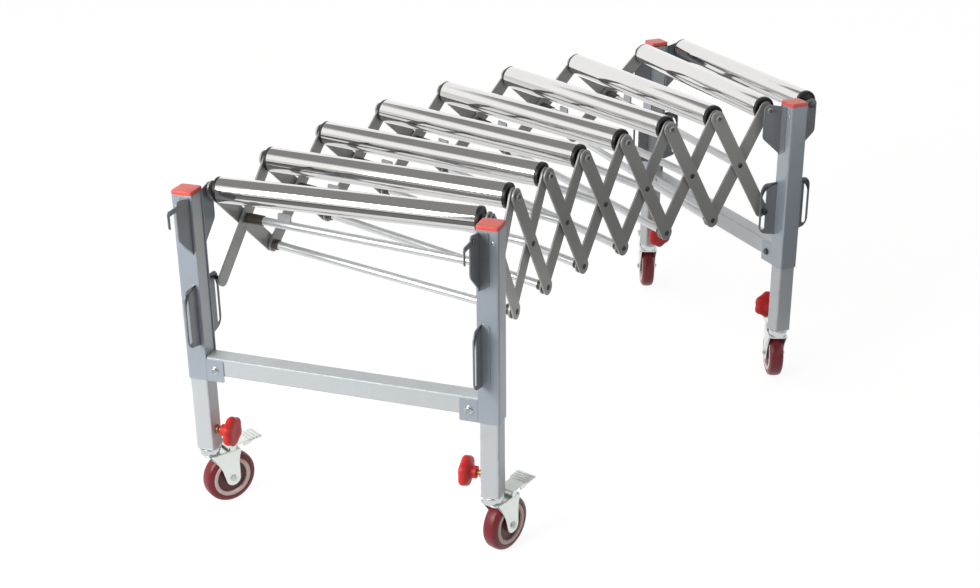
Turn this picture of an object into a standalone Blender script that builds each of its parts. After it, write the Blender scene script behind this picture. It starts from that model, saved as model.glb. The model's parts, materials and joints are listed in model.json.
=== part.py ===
"""Extendable roller table: two end frames on casters, joined by a curved scissor lattice of rollers.

The table stands as it does when opened on a bend. The long way runs along X, the rollers lie across it,
and the floor is at z = 0. A frame of reference with "u" towards the table's middle, "v" to its left and
"z" up is used for each end.
"""
import math

import bpy
import bmesh
from mathutils import Matrix, Vector

# Scissor lattice
SECTION_COUNT = 7
SECTION_PITCH = 0.164
SECTION_TURN = math.radians(6.66)
LINK_LENGTH = 0.267
LINK_WIDTH = 0.032
LINK_THICKNESS = 0.004
LAYER_GAP = 0.0038
AXLE_HEIGHT = 0.657
ROD_RADIUS = 0.006
ROD_NECK_RADIUS = 0.004
SLOT_HEAD_RADIUS = 0.0075
SLOT_HEAD_HEIGHT = 0.0025
TAB_LENGTH = 0.028
TAB_HEIGHT = 0.014
TAB_THICKNESS = 0.005
TAB_INSET = 0.090

# Rollers
ROLLER_RADIUS = 0.025
ROLLER_HALF = 0.264
ROLLER_WALL = 0.0018
ROLLER_CAP_THICKNESS = 0.006
ROLLER_END_GAP = 0.0015
AXLE_RADIUS = 0.005
NUT_RADIUS = 0.008
NUT_HEIGHT = 0.0035

# End frames
POST_HALF_SPACING = 0.2975
POST_SIZE = 0.042
POST_WALL = 0.002
POST_BOTTOM = 0.290
POST_TOP = 0.667
POST_SETBACK = 0.055
CAP_HEIGHT = 0.008
CAP_OVERHANG = 0.0006
CAP_CORNER = 0.005
CAP_EDGE = 0.002
LEG_TUBE_WALL = 0.002
LEG_TUBE_BOTTOM = 0.135
LEG_TUBE_TOP_GAP = 0.002
CROSSBAR_BOTTOM = 0.302
CROSSBAR_WALL = 0.0018
CROSSBAR_TAB_LENGTH = 0.036
CROSSBAR_TAB_MARGIN = 0.004
BRACKET_THICKNESS = 0.003
BRACKET_FLANGE = 0.025
EAR_GAP = 0.0036
EAR_RADIUS = 0.013
EAR_SHOULDER_DROP = 0.062
EAR_ROOT_DROP = 0.105
EAR_ROOT_TOP_DROP = 0.004
SLOT_PLATE_GAP = 0.0065
SLOT_TOP = 0.482
SLOT_BOTTOM = 0.381
SLOT_RIM = 0.0045
SLOT_PLATE_MARGIN = 0.008
SLOT_PIN_CLEARANCE = 0.0012
SLOT_PIN_HEAD_GAP = 0.0035
HOOK_REACH = 0.030
HOOK_BAR = 0.010
HOOK_PRONG = 0.026
HOOK_PRONG_WIDTH = 0.007

# Sliding legs, casters and lock knobs
INNER_LEG_WALL = 0.0024
INNER_LEG_LENGTH = 0.36
FOOT_THICKNESS = 0.0022
KINGPIN_RADIUS = 0.006
KINGPIN_LENGTH = 0.0148
RACE_TOP_RADIUS = 0.021
RACE_BOTTOM_RADIUS = 0.018
RACE_HEIGHT = 0.016
CROWN_THICKNESS = 0.003
CROWN_FRONT = 0.016
FORK_WALL = 0.0025
FORK_SIDE_GAP = 0.001
FORK_BACK = 0.020
FORK_END_RADIUS = 0.014
WHEEL_RADIUS = 0.054
WHEEL_WIDTH = 0.032
WHEEL_HUB_RADIUS = 0.015
WHEEL_HUB_OVERHANG = 0.001
WHEEL_RIM_RADIUS = 0.039
WHEEL_WEB_INSET = 0.005
WHEEL_SHOULDER = 0.006
WHEEL_AXLE_RADIUS = 0.004
WHEEL_TRAIL = 0.036
PEDAL_PIVOT_REACH = 0.040
PEDAL_PIVOT_RISE = 0.006
PEDAL_PIN_RADIUS = 0.003
PEDAL_EAR_RADIUS = 0.0065
PEDAL_LENGTH = 0.077
PEDAL_HEEL = 0.010
PEDAL_THICKNESS = 0.0025
PEDAL_LIFT = math.radians(4.0)
PEDAL_RIDGES = 3
PEDAL_RIDGE_PITCH = 0.008
PEDAL_RIDGE_SIZE = 0.002
KNOB_HEIGHT = 0.038
KNOB_RADIUS = 0.032
KNOB_LOBES = 6
KNOB_LOBE_DEPTH = 0.0035
KNOB_THICKNESS = 0.019
KNOB_NECK_RADIUS = 0.012
KNOB_NECK_LENGTH = 0.012
KNOB_STANDOFF = 0.012
STUD_RADIUS = 0.005
WELD_NUT_RADIUS = 0.009
WELD_NUT_HEIGHT = 0.006

# Headings of the caster trails in each frame's own u, v axes
CASTER_HEADINGS = {
    "near_left": math.radians(-33.0),
    "near_right": math.radians(-19.0),
    "far_left": math.radians(-114.0),
    "far_right": math.radians(-114.0),
}

# Fits and facets
CLEARANCE = 0.0003
PIVOT_CLEARANCE = 0.0006
OPEN_PIVOT_CLEARANCE = 0.0013
EMBED = 0.0005
ROLLER_SIDES = 16
WHEEL_SIDES = 16
RACE_SIDES = 12
ROD_SIDES = 8
HOLE_SIDES = 8
LINK_END_STEPS = 4
ARC_STEPS = 3

# Sizes that follow from the ones above
PIVOT_HALF = ROLLER_HALF + ROLLER_END_GAP + LINK_THICKNESS + LAYER_GAP / 2
LAYER_OFFSET = (LINK_THICKNESS + LAYER_GAP) / 2
OUTER_FACE = LAYER_OFFSET + LINK_THICKNESS / 2
EAR_INNER = PIVOT_HALF + OUTER_FACE + EAR_GAP
EAR_OUTER = EAR_INNER + BRACKET_THICKNESS
SLOT_PLATE_INNER = PIVOT_HALF + OUTER_FACE + SLOT_PLATE_GAP
SLOT_PLATE_OUTER = SLOT_PLATE_INNER + BRACKET_THICKNESS
POST_FACE = POST_SETBACK - POST_SIZE / 2
LEG_TUBE_SIZE = POST_SIZE - 2 * POST_WALL - 2 * CLEARANCE
INNER_LEG_SIZE = LEG_TUBE_SIZE - 2 * LEG_TUBE_WALL - 2 * CLEARANCE
FOOT_TOP = LEG_TUBE_BOTTOM - CLEARANCE
RACE_TOP = FOOT_TOP - FOOT_THICKNESS - CLEARANCE
CROWN_TOP = RACE_TOP - RACE_HEIGHT
FORK_INSIDE = WHEEL_WIDTH / 2 + WHEEL_HUB_OVERHANG + FORK_SIDE_GAP
FORK_OUTSIDE = FORK_INSIDE + FORK_WALL
SIDES = {"left": 1, "right": -1}


def clear_scene():
    """Remove whatever the scene holds, so that the table stands alone."""
    for old in list(bpy.data.objects):
        bpy.data.objects.remove(old, do_unlink=True)


def finish_material(name, colour, roughness, metallic):
    """Make a plain Principled finish."""
    finish = bpy.data.materials.new(name)
    finish.use_nodes = True
    shader = finish.node_tree.nodes["Principled BSDF"]
    shader.inputs["Base Color"].default_value = (*colour, 1.0)
    shader.inputs["Roughness"].default_value = roughness
    shader.inputs["Metallic"].default_value = metallic
    return finish


def arc(centre, radius, start, end, steps):
    """Points on an arc in a plane, from the start angle to the end angle in degrees."""
    points = []
    for step in range(steps + 1):
        angle = math.radians(start + (end - start) * step / steps)
        points.append((centre[0] + radius * math.cos(angle), centre[1] + radius * math.sin(angle)))
    return points


def mesh_from(bm, name="shape"):
    """Turn a bmesh into a mesh whose faces point outwards."""
    bmesh.ops.recalc_face_normals(bm, faces=bm.faces)
    mesh = bpy.data.meshes.new(name)
    bm.to_mesh(mesh)
    bm.free()
    return mesh


def prism(outline, low, high, axes="XYZ"):
    """Extrude a flat outline along the third axis named, between two heights."""
    order = ["XYZ".index(letter) for letter in axes]
    bm = bmesh.new()
    corners = []
    for across, along in outline:
        spot = [0.0, 0.0, 0.0]
        spot[order[0]] = across
        spot[order[1]] = along
        spot[order[2]] = low
        corners.append(bm.verts.new(spot))
    face = bm.faces.new(corners)
    grown = bmesh.ops.extrude_face_region(bm, geom=[face])
    shift = Vector((0.0, 0.0, 0.0))
    shift[order[2]] = high - low
    raised = [item for item in grown["geom"] if isinstance(item, bmesh.types.BMVert)]
    bmesh.ops.translate(bm, vec=shift, verts=raised)
    return mesh_from(bm)


def box(low, high):
    """A rectangular block between two corners."""
    outline = [(low[0], low[1]), (high[0], low[1]), (high[0], high[1]), (low[0], high[1])]
    return prism(outline, low[2], high[2])


def square(size):
    """The four corners of a centred square."""
    half = size / 2
    return [(-half, -half), (half, -half), (half, half), (-half, half)]


def turned(profile, sides, ring=False, phase=0.5):
    """Turn (distance along Z, radius) points about Z. A ring closes on itself, a bar gets end faces."""
    bm = bmesh.new()
    rings = []
    for along, radius in profile:
        loop = []
        for side in range(sides):
            angle = 2 * math.pi * (side + phase) / sides
            loop.append(bm.verts.new((radius * math.cos(angle), radius * math.sin(angle), along)))
        rings.append(loop)
    pairs = list(zip(rings, rings[1:]))
    if ring:
        pairs.append((rings[-1], rings[0]))
    else:
        bm.faces.new(rings[0])
        bm.faces.new(rings[-1])
    for lower, upper in pairs:
        for side in range(sides):
            after = (side + 1) % sides
            bm.faces.new((lower[side], lower[after], upper[after], upper[side]))
    return mesh_from(bm)


def aim(point, direction, up=Vector((0.0, 0.0, 1.0))):
    """A frame at a point whose Z axis runs along a direction and whose X axis lies nearest to up."""
    along = direction.normalized()
    across = along.cross(up).normalized()
    rise = across.cross(along)
    turn = Matrix((rise, across, along)).transposed().to_4x4()
    return Matrix.Translation(point) @ turn


def moved(mesh, frame):
    """Place a mesh with a matrix."""
    mesh.transform(frame)
    return mesh


def combine(base, others, operation):
    """Join or cut a mesh with others, one exact Boolean after another."""
    helper = bpy.data.objects.new("helper", base)
    bpy.context.scene.collection.objects.link(helper)
    tools = []
    for other in others:
        tool = bpy.data.objects.new("tool", other)
        tool.hide_render = True
        tool.display_type = "WIRE"
        bpy.context.scene.collection.objects.link(tool)
        step = helper.modifiers.new("step", "BOOLEAN")
        step.operation = operation
        step.object = tool
        tools.append(tool)
    depsgraph = bpy.context.evaluated_depsgraph_get()
    result = bpy.data.meshes.new_from_object(helper.evaluated_get(depsgraph))
    for spent in [helper] + tools:
        bpy.data.objects.remove(spent, do_unlink=True)
    return result


def join(meshes):
    """One body from overlapping meshes."""
    return combine(meshes[0], meshes[1:], "UNION")


def cut(mesh, cutters):
    """A body with cutters taken away."""
    return combine(mesh, cutters, "DIFFERENCE")


def add_part(name, mesh, finish, frame=Matrix(), parent=None, smooth=True):
    """Add a mesh, given in its parent's space, as a named part with its origin at the frame."""
    mesh.transform(frame.inverted())
    mesh.materials.clear()
    mesh.materials.append(finish)
    mesh.name = name
    if smooth:
        mesh.shade_smooth()
        mesh.set_sharp_from_angle(angle=math.radians(35.0))
    part = bpy.data.objects.new(name, mesh)
    bpy.context.scene.collection.objects.link(part)
    part.parent = parent
    part.matrix_local = frame
    return part


def station_frames():
    """Frames of the roller axles in plan, at floor height, symmetrical about the middle of the bend."""
    frames = []
    place = Vector((0.0, 0.0, 0.0))
    for index in range(SECTION_COUNT + 1):
        heading = SECTION_TURN * (SECTION_COUNT / 2 - index)
        frames.append(Matrix.Translation(place) @ Matrix.Rotation(heading, 4, "Z"))
        chord = heading - SECTION_TURN / 2
        place = place + SECTION_PITCH * Vector((math.cos(chord), math.sin(chord), 0.0))
    return frames


class Lattice:
    """Pivot points and pivot axes of the scissor lattice."""

    def __init__(self, stations):
        self.stations = stations
        self.drops = {}
        for side in SIDES.values():
            reach = (self.top(1, side) - self.top(0, side)).length
            self.drops[side] = math.sqrt(LINK_LENGTH ** 2 - reach ** 2)

    def top(self, station, side):
        return self.stations[station] @ Vector((0.0, side * PIVOT_HALF, AXLE_HEIGHT))

    def bottom(self, station, side):
        return self.top(station, side) - Vector((0.0, 0.0, self.drops[side]))

    def middle(self, section, side):
        return (self.top(section, side) + self.bottom(section + 1, side)) / 2

    def outward(self, section, side):
        chord = (self.top(section + 1, side) - self.top(section, side)).normalized()
        return side * Vector((0.0, 0.0, 1.0)).cross(chord)


def pierce(point, axis, normal, offset):
    """Where an axis through a pivot point meets a plane at an offset along the plane's normal."""
    return point + axis * (offset / axis.dot(normal))


def link_plate(start, end, normal):
    """A flat bar with round ends between two pivot centres."""
    along = end - start
    half = LINK_WIDTH / 2
    outline = arc((0.0, 0.0), half, 90, 270, LINK_END_STEPS)
    outline += arc((along.length, 0.0), half, -90, 90, LINK_END_STEPS)
    plate = prism(outline, -LINK_THICKNESS / 2, LINK_THICKNESS / 2)
    direction = along.normalized()
    turn = Matrix((direction, normal.cross(direction), normal)).transposed().to_4x4()
    return moved(plate, Matrix.Translation(start) @ turn)


def bore_tool(low, high, radius):
    """A cutter along Z whose flats keep clear of a round pin of the radius given."""
    corner = radius / math.cos(math.pi / HOLE_SIDES)
    return turned([(low, corner), (high, corner)], HOLE_SIDES)


def hole_tool(point, axis, radius):
    """A cutter for a pivot hole in a link."""
    return moved(bore_tool(-LINK_THICKNESS, LINK_THICKNESS, radius), aim(point, axis))


def tie_rod(left, right, slope):
    """A cross rod whose thin necks pass through the inner links and end inside the outer links."""
    half = (left - right).length / 2
    shoulder = half - (OUTER_FACE + PIVOT_CLEARANCE * 2) / slope
    end = half + LAYER_OFFSET / slope
    profile = [
        (-end, ROD_NECK_RADIUS), (-shoulder, ROD_NECK_RADIUS), (-shoulder, ROD_RADIUS),
        (shoulder, ROD_RADIUS), (shoulder, ROD_NECK_RADIUS), (end, ROD_NECK_RADIUS),
    ]
    return moved(turned(profile, ROD_SIDES), aim((left + right) / 2, left - right))


def roller_axle(frame, head_start):
    """A plain axle along the frame's Y axis with a nut at each end."""
    end = head_start + NUT_HEIGHT
    profile = [
        (-end, NUT_RADIUS), (-head_start, NUT_RADIUS), (-head_start, AXLE_RADIUS),
        (head_start, AXLE_RADIUS), (head_start, NUT_RADIUS), (end, NUT_RADIUS),
    ]
    return moved(turned(profile, ROD_SIDES), frame @ Matrix.Rotation(math.radians(-90), 4, "X"))


def slot_pin(root, axis, plate_face, lateral):
    """A pin from an end link through a slotted bracket, with a head outside the slot."""
    head = plate_face + SLOT_PIN_HEAD_GAP - lateral
    profile = [
        (-LINK_THICKNESS / 2 + EMBED, ROD_NECK_RADIUS), (head, ROD_NECK_RADIUS),
        (head, SLOT_HEAD_RADIUS), (head + SLOT_HEAD_HEIGHT, SLOT_HEAD_RADIUS),
    ]
    return moved(turned(profile, ROD_SIDES), aim(root, axis))


def stop_tab(lattice, section):
    """The small upright tab that stands on a middle rod near its left end."""
    left = lattice.middle(section, 1)
    axis = (left - lattice.middle(section, -1)).normalized()
    chord = axis.cross(Vector((0.0, 0.0, 1.0)))
    rise = chord.cross(axis)
    turn = Matrix((chord, axis, rise)).transposed().to_4x4()
    half_length = TAB_LENGTH / 2
    low = (-TAB_THICKNESS / 2, -half_length, 0.0)
    high = (TAB_THICKNESS / 2, half_length, ROD_RADIUS + TAB_HEIGHT)
    block = box(low, high)
    return moved(block, Matrix.Translation(left - axis * TAB_INSET) @ turn)


def arm_b(lattice, section):
    """The outer-layer arm from a roller axle down to the next lower pivots, with its two tie rods."""
    last = section == SECTION_COUNT - 1
    middle_axis = (lattice.middle(section, 1) - lattice.middle(section, -1)).normalized()
    lower_axis = (lattice.bottom(section + 1, 1) - lattice.bottom(section + 1, -1)).normalized()
    station_axis = lattice.stations[section].to_3x3() @ Vector((0.0, 1.0, 0.0))
    end_axis = lattice.stations[section + 1].to_3x3() @ Vector((0.0, 1.0, 0.0))
    pieces = []
    for side in SIDES.values():
        normal = lattice.outward(section, side)
        top = pierce(lattice.top(section, side), station_axis * side, normal, LAYER_OFFSET)
        foot_axis = end_axis if last else lower_axis
        foot = pierce(lattice.bottom(section + 1, side), foot_axis * side, normal, LAYER_OFFSET)
        plate = link_plate(top, foot, normal)
        hole = hole_tool(top, station_axis, AXLE_RADIUS + PIVOT_CLEARANCE)
        pieces.append(cut(plate, [hole]))
        if last:
            root_offset = PIVOT_HALF + LAYER_OFFSET
            pieces.append(slot_pin(foot, end_axis * side, SLOT_PLATE_OUTER, root_offset))
    outward = lattice.outward(section, 1)
    crossing_left, crossing_right = lattice.middle(section, 1), lattice.middle(section, -1)
    pieces.append(tie_rod(crossing_left, crossing_right, middle_axis.dot(outward)))
    pieces.append(stop_tab(lattice, section))
    if not last:
        left, right = lattice.bottom(section + 1, 1), lattice.bottom(section + 1, -1)
        pieces.append(tie_rod(left, right, lower_axis.dot(outward)))
    return join(pieces)


def arm_a(lattice, section):
    """The inner-layer arm from the lower pivots up to the next roller axle, which it carries."""
    first = section == 0
    last = section == SECTION_COUNT - 1
    middle_axis = (lattice.middle(section, 1) - lattice.middle(section, -1)).normalized()
    lower_axis = (lattice.bottom(section, 1) - lattice.bottom(section, -1)).normalized()
    start_axis = lattice.stations[section].to_3x3() @ Vector((0.0, 1.0, 0.0))
    station = lattice.stations[section + 1]
    station_axis = station.to_3x3() @ Vector((0.0, 1.0, 0.0))
    pieces = []
    for side in SIDES.values():
        normal = lattice.outward(section, side)
        foot_axis = start_axis if first else lower_axis
        foot = pierce(lattice.bottom(section, side), foot_axis * side, normal, -LAYER_OFFSET)
        top = pierce(lattice.top(section + 1, side), station_axis * side, normal, -LAYER_OFFSET)
        middle = pierce(lattice.middle(section, side), middle_axis * side, normal, -LAYER_OFFSET)
        holes = [hole_tool(middle, middle_axis, ROD_NECK_RADIUS + PIVOT_CLEARANCE)]
        if not first:
            holes.append(hole_tool(foot, lower_axis, ROD_NECK_RADIUS + OPEN_PIVOT_CLEARANCE))
        pieces.append(cut(link_plate(foot, top, normal), holes))
        if first:
            root_offset = PIVOT_HALF - LAYER_OFFSET
            pieces.append(slot_pin(foot, start_axis * side, SLOT_PLATE_OUTER, root_offset))
    head_start = EAR_OUTER + PIVOT_CLEARANCE if last else PIVOT_HALF + OUTER_FACE + PIVOT_CLEARANCE * 2
    axle_frame = station @ Matrix.Translation((0.0, 0.0, AXLE_HEIGHT))
    pieces.append(roller_axle(axle_frame, head_start))
    return join(pieces)


def roller_mesh():
    """A steel tube with a cap pressed into each end, hollow inside, bored for its axle."""
    bore = AXLE_RADIUS + CLEARANCE
    inside = ROLLER_RADIUS - ROLLER_WALL
    cap = ROLLER_HALF - ROLLER_CAP_THICKNESS
    half_profile = [
        (cap, inside), (cap, bore), (ROLLER_HALF, bore), (ROLLER_HALF, ROLLER_RADIUS),
    ]
    profile = half_profile + [(-along, radius) for along, radius in reversed(half_profile)]
    return moved(turned(profile, ROLLER_SIDES, ring=True), Matrix.Rotation(math.radians(-90), 4, "X"))


def ear_plate(side, direction, hooked):
    """A roller ear beside the post. Direction is 1 on the post's inner face and -1 on its outer face."""
    root = -POST_FACE - POST_WALL
    outline = [(root, AXLE_HEIGHT - EAR_ROOT_DROP), (EAR_RADIUS, AXLE_HEIGHT - EAR_SHOULDER_DROP)]
    if hooked:
        far = EAR_RADIUS + HOOK_REACH
        top = AXLE_HEIGHT + HOOK_BAR / 2
        outline += [
            (EAR_RADIUS, top - HOOK_BAR), (far - HOOK_PRONG_WIDTH, top - HOOK_BAR),
            (far - HOOK_PRONG_WIDTH, top - HOOK_BAR - HOOK_PRONG), (far, top - HOOK_BAR - HOOK_PRONG),
            (far, top), (EAR_RADIUS, top),
        ]
        outline += arc((0.0, AXLE_HEIGHT), EAR_RADIUS, 40, 90, ARC_STEPS)
    else:
        outline += arc((0.0, AXLE_HEIGHT), EAR_RADIUS, 0, 90, ARC_STEPS)
    root_top = POST_TOP - EAR_ROOT_TOP_DROP
    outline += [(-POST_FACE + 2 * POST_WALL, root_top), (root, root_top)]
    low, high = sorted((side * EAR_INNER, side * EAR_OUTER))
    plate = prism(outline, low, high, "XZY")
    if not hooked:
        hole = bore_tool(low - EMBED, high + EMBED, AXLE_RADIUS + PIVOT_CLEARANCE)
        hole = moved(hole, Matrix.Rotation(math.radians(-90), 4, "X"))
        plate = cut(plate, [moved(hole, Matrix.Translation((0.0, 0.0, AXLE_HEIGHT)))])
    return moved(plate, face_frame(direction))


def face_frame(direction):
    """Turn a bracket drawn on the post's inner face round to its outer face where direction is -1."""
    if direction > 0:
        return Matrix()
    return Matrix.Translation((-2 * POST_SETBACK, 0.0, 0.0)) @ Matrix.Diagonal((-1.0, 1.0, 1.0, 1.0))


def slot_plate(side, direction):
    """The slotted bracket in which the lattice's end pins slide up and down."""
    root = -POST_FACE - POST_WALL
    slot_half = ROD_NECK_RADIUS + SLOT_PIN_CLEARANCE
    edge = slot_half + SLOT_RIM
    low_z = SLOT_BOTTOM - SLOT_PLATE_MARGIN
    high_z = SLOT_TOP + SLOT_PLATE_MARGIN
    outline = [
        (root, low_z - SLOT_PLATE_MARGIN), (0.0, low_z), (edge, SLOT_BOTTOM), (edge, SLOT_TOP),
        (0.0, high_z), (root, high_z),
    ]
    low, high = sorted((side * SLOT_PLATE_INNER, side * SLOT_PLATE_OUTER))
    slot = arc((0.0, SLOT_BOTTOM + slot_half), slot_half, 180, 360, ARC_STEPS)
    slot += arc((0.0, SLOT_TOP - slot_half), slot_half, 0, 180, ARC_STEPS)
    plate = cut(prism(outline, low, high, "XZY"), [prism(slot, low - EMBED, high + EMBED, "XZY")])
    return moved(plate, face_frame(direction))


def bracket_flange(side, direction, inner, low_z, high_z):
    """The flat foot of a bracket, from the bracket's plate to its far edge on the post's face."""
    post_edge = POST_HALF_SPACING - POST_SIZE / 2
    low, high = sorted((side * inner, side * (post_edge + BRACKET_FLANGE)))
    plate = box((-POST_FACE - EMBED, low, low_z), (-POST_FACE + POST_WALL, high, high_z))
    return moved(plate, face_frame(direction))


def post_mesh(side, hooked):
    """A sheet channel open towards the table's middle, with its ears, slot brackets and crossbar tab."""
    half = POST_SIZE / 2
    inside = half - POST_WALL
    outline = [(-half, -half), (half, -half), (half, half), (inside, half), (inside, -inside),
               (-inside, -inside), (-inside, half), (-half, half)]
    placed = [(across - POST_SETBACK, side * (POST_HALF_SPACING - along)) for across, along in outline]
    pieces = [prism(placed, POST_BOTTOM, POST_TOP)]
    mouth = POST_HALF_SPACING - half
    tab_low, tab_high = sorted((side * (mouth + EMBED), side * (mouth - CROSSBAR_TAB_LENGTH)))
    tab_top = CROSSBAR_BOTTOM + LEG_TUBE_SIZE - CROSSBAR_TAB_MARGIN
    outer_face = -POST_SETBACK - half
    pieces.append(box((outer_face, tab_low, POST_BOTTOM), (outer_face + POST_WALL, tab_high, tab_top)))
    for direction in (1, -1):
        pieces.append(ear_plate(side, direction, hooked and direction < 0))
        pieces.append(slot_plate(side, direction))
        ear_low = AXLE_HEIGHT - EAR_ROOT_DROP
        ear_high = POST_TOP - EAR_ROOT_TOP_DROP
        pieces.append(bracket_flange(side, direction, EAR_INNER, ear_low, ear_high))
        slot_low = SLOT_BOTTOM - 2 * SLOT_PLATE_MARGIN
        slot_high = SLOT_TOP + SLOT_PLATE_MARGIN
        pieces.append(bracket_flange(side, direction, SLOT_PLATE_INNER, slot_low, slot_high))
    return join(pieces)


def post_centre(side):
    """The middle of a post in plan."""
    return Matrix.Translation((-POST_SETBACK, side * POST_HALF_SPACING, 0.0))


def cap_mesh(side):
    """A moulded cap with rounded corners and a bevelled top edge, on the top of a post."""
    half = POST_SIZE / 2 + CAP_OVERHANG
    centre = half - CAP_CORNER
    outline = []
    for quarter in range(4):
        angle = math.radians(45 + 90 * quarter)
        corner = (math.copysign(centre, math.cos(angle)), math.copysign(centre, math.sin(angle)))
        outline += arc(corner, CAP_CORNER, 90 * quarter, 90 * quarter + 90, 2)
    low = POST_TOP + CLEARANCE
    bm = bmesh.new()
    rings = []
    for height, shrink in ((low, 0.0), (low + CAP_HEIGHT - CAP_EDGE, 0.0), (low + CAP_HEIGHT, CAP_EDGE)):
        scale = (half - shrink) / half
        rings.append([bm.verts.new((across * scale, along * scale, height)) for across, along in outline])
    bm.faces.new(rings[0])
    bm.faces.new(rings[-1])
    count = len(outline)
    for lower, upper in zip(rings, rings[1:]):
        for index in range(count):
            after = (index + 1) % count
            bm.faces.new((lower[index], lower[after], upper[after], upper[index]))
    return moved(mesh_from(bm), post_centre(side))


def square_tube(size, wall, low, high):
    """An open square tube standing on end."""
    body = prism(square(size), low, high)
    return cut(body, [prism(square(size - 2 * wall), low - EMBED, high + EMBED)])


def knob_frame(side):
    """A frame on the tube's inner face at knob height, with Z pointing to the table's middle."""
    face = POST_HALF_SPACING - LEG_TUBE_SIZE / 2
    point = Vector((-POST_SETBACK, side * face, LEG_TUBE_BOTTOM + KNOB_HEIGHT))
    return aim(point, Vector((0.0, -side, 0.0)))


def leg_tube_mesh(side):
    """The fixed leg tube with the weld nut of its lock knob."""
    tube = square_tube(LEG_TUBE_SIZE, LEG_TUBE_WALL, LEG_TUBE_BOTTOM, POST_TOP - LEG_TUBE_TOP_GAP)
    tube = moved(tube, post_centre(side))
    frame = knob_frame(side)
    nut = moved(turned([(-EMBED, WELD_NUT_RADIUS), (WELD_NUT_HEIGHT, WELD_NUT_RADIUS)], ROD_SIDES), frame)
    hole = bore_tool(-LEG_TUBE_WALL - EMBED, WELD_NUT_HEIGHT + EMBED, STUD_RADIUS + CLEARANCE)
    return cut(join([tube, nut]), [moved(hole, frame)])


def crossbar_mesh():
    """The square tube that holds the two posts of a frame apart."""
    half = POST_HALF_SPACING - LEG_TUBE_SIZE / 2 - CLEARANCE
    tube = square_tube(LEG_TUBE_SIZE, CROSSBAR_WALL, -half, half)
    tube = moved(tube, Matrix.Rotation(math.radians(-90), 4, "X"))
    return moved(tube, Matrix.Translation((-POST_SETBACK, 0.0, CROSSBAR_BOTTOM + LEG_TUBE_SIZE / 2)))


def inner_leg_mesh(side):
    """The sliding leg: a square tube on a foot plate, with the caster's kingpin below."""
    tube = square_tube(INNER_LEG_SIZE, INNER_LEG_WALL, FOOT_TOP - EMBED, FOOT_TOP + INNER_LEG_LENGTH)
    foot = prism(square(LEG_TUBE_SIZE), FOOT_TOP - FOOT_THICKNESS, FOOT_TOP)
    foot_bottom = FOOT_TOP - FOOT_THICKNESS
    pin_profile = [(foot_bottom - KINGPIN_LENGTH, KINGPIN_RADIUS), (foot_bottom + EMBED, KINGPIN_RADIUS)]
    kingpin = turned(pin_profile, ROD_SIDES)
    return moved(join([tube, foot, kingpin]), post_centre(side))


def fork_mesh():
    """The swivel fork at the kingpin, trailing along +X, with its race, wheel axle and pedal ears."""
    crown_low = CROWN_TOP - CROWN_THICKNESS
    back = WHEEL_TRAIL + FORK_BACK
    crown = box((-CROWN_FRONT, -FORK_OUTSIDE, crown_low), (back, FORK_OUTSIDE, CROWN_TOP))
    bore = KINGPIN_RADIUS + CLEARANCE
    race = turned([(CROWN_TOP - EMBED, bore), (CROWN_TOP - EMBED, RACE_BOTTOM_RADIUS),
                   (RACE_TOP - RACE_HEIGHT / 3, RACE_TOP_RADIUS), (RACE_TOP, RACE_TOP_RADIUS),
                   (RACE_TOP, bore)], RACE_SIDES, ring=True)
    pivot = (PEDAL_PIVOT_REACH, CROWN_TOP + PEDAL_PIVOT_RISE)
    outline = [(-CROWN_FRONT / 2, CROWN_TOP), (-CROWN_FRONT / 2, crown_low)]
    outline += arc((WHEEL_TRAIL, WHEEL_RADIUS), FORK_END_RADIUS, 205, 345, ARC_STEPS)
    outline += [(back, crown_low), (back, CROWN_TOP)]
    outline += [(pivot[0] + PEDAL_EAR_RADIUS, CROWN_TOP)]
    outline += arc(pivot, PEDAL_EAR_RADIUS, 0, 180, ARC_STEPS)
    outline += [(pivot[0] - PEDAL_EAR_RADIUS, CROWN_TOP)]
    pieces = [crown, race]
    hole_radius = PEDAL_PIN_RADIUS + CLEARANCE
    across = Matrix.Rotation(math.radians(-90), 4, "X")
    for side in SIDES.values():
        low, high = sorted((side * FORK_INSIDE, side * FORK_OUTSIDE))
        plate = prism(outline, low, high, "XZY")
        hole = moved(bore_tool(low - EMBED, high + EMBED, hole_radius), across)
        pieces.append(cut(plate, [moved(hole, Matrix.Translation((pivot[0], 0.0, pivot[1])))]))
    face = FORK_OUTSIDE - EMBED
    end = face + NUT_HEIGHT
    bolt = turned([(-end, NUT_RADIUS), (-face, NUT_RADIUS), (-face, WHEEL_AXLE_RADIUS),
                   (face, WHEEL_AXLE_RADIUS), (face, NUT_RADIUS), (end, NUT_RADIUS)], ROD_SIDES)
    pieces.append(moved(moved(bolt, across), Matrix.Translation((WHEEL_TRAIL, 0.0, WHEEL_RADIUS))))
    return join(pieces)


def wheel_mesh():
    """A tyre on a webbed hub, turned about the wheel axle along Y, with flats that touch the floor."""
    half = WHEEL_WIDTH / 2
    hub = half + WHEEL_HUB_OVERHANG
    web = half - WHEEL_WEB_INSET
    tread = WHEEL_RADIUS / math.cos(math.pi / WHEEL_SIDES)
    half_profile = [
        (hub, WHEEL_AXLE_RADIUS + CLEARANCE), (hub, WHEEL_HUB_RADIUS), (web, WHEEL_HUB_RADIUS),
        (web, WHEEL_RIM_RADIUS), (half, WHEEL_RIM_RADIUS), (half, tread - WHEEL_SHOULDER),
        (half - WHEEL_SHOULDER, tread),
    ]
    profile = half_profile + [(-along, radius) for along, radius in reversed(half_profile)]
    wheel = turned(profile, WHEEL_SIDES, ring=True)
    return moved(wheel, Matrix.Rotation(math.radians(-90), 4, "X"))


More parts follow.
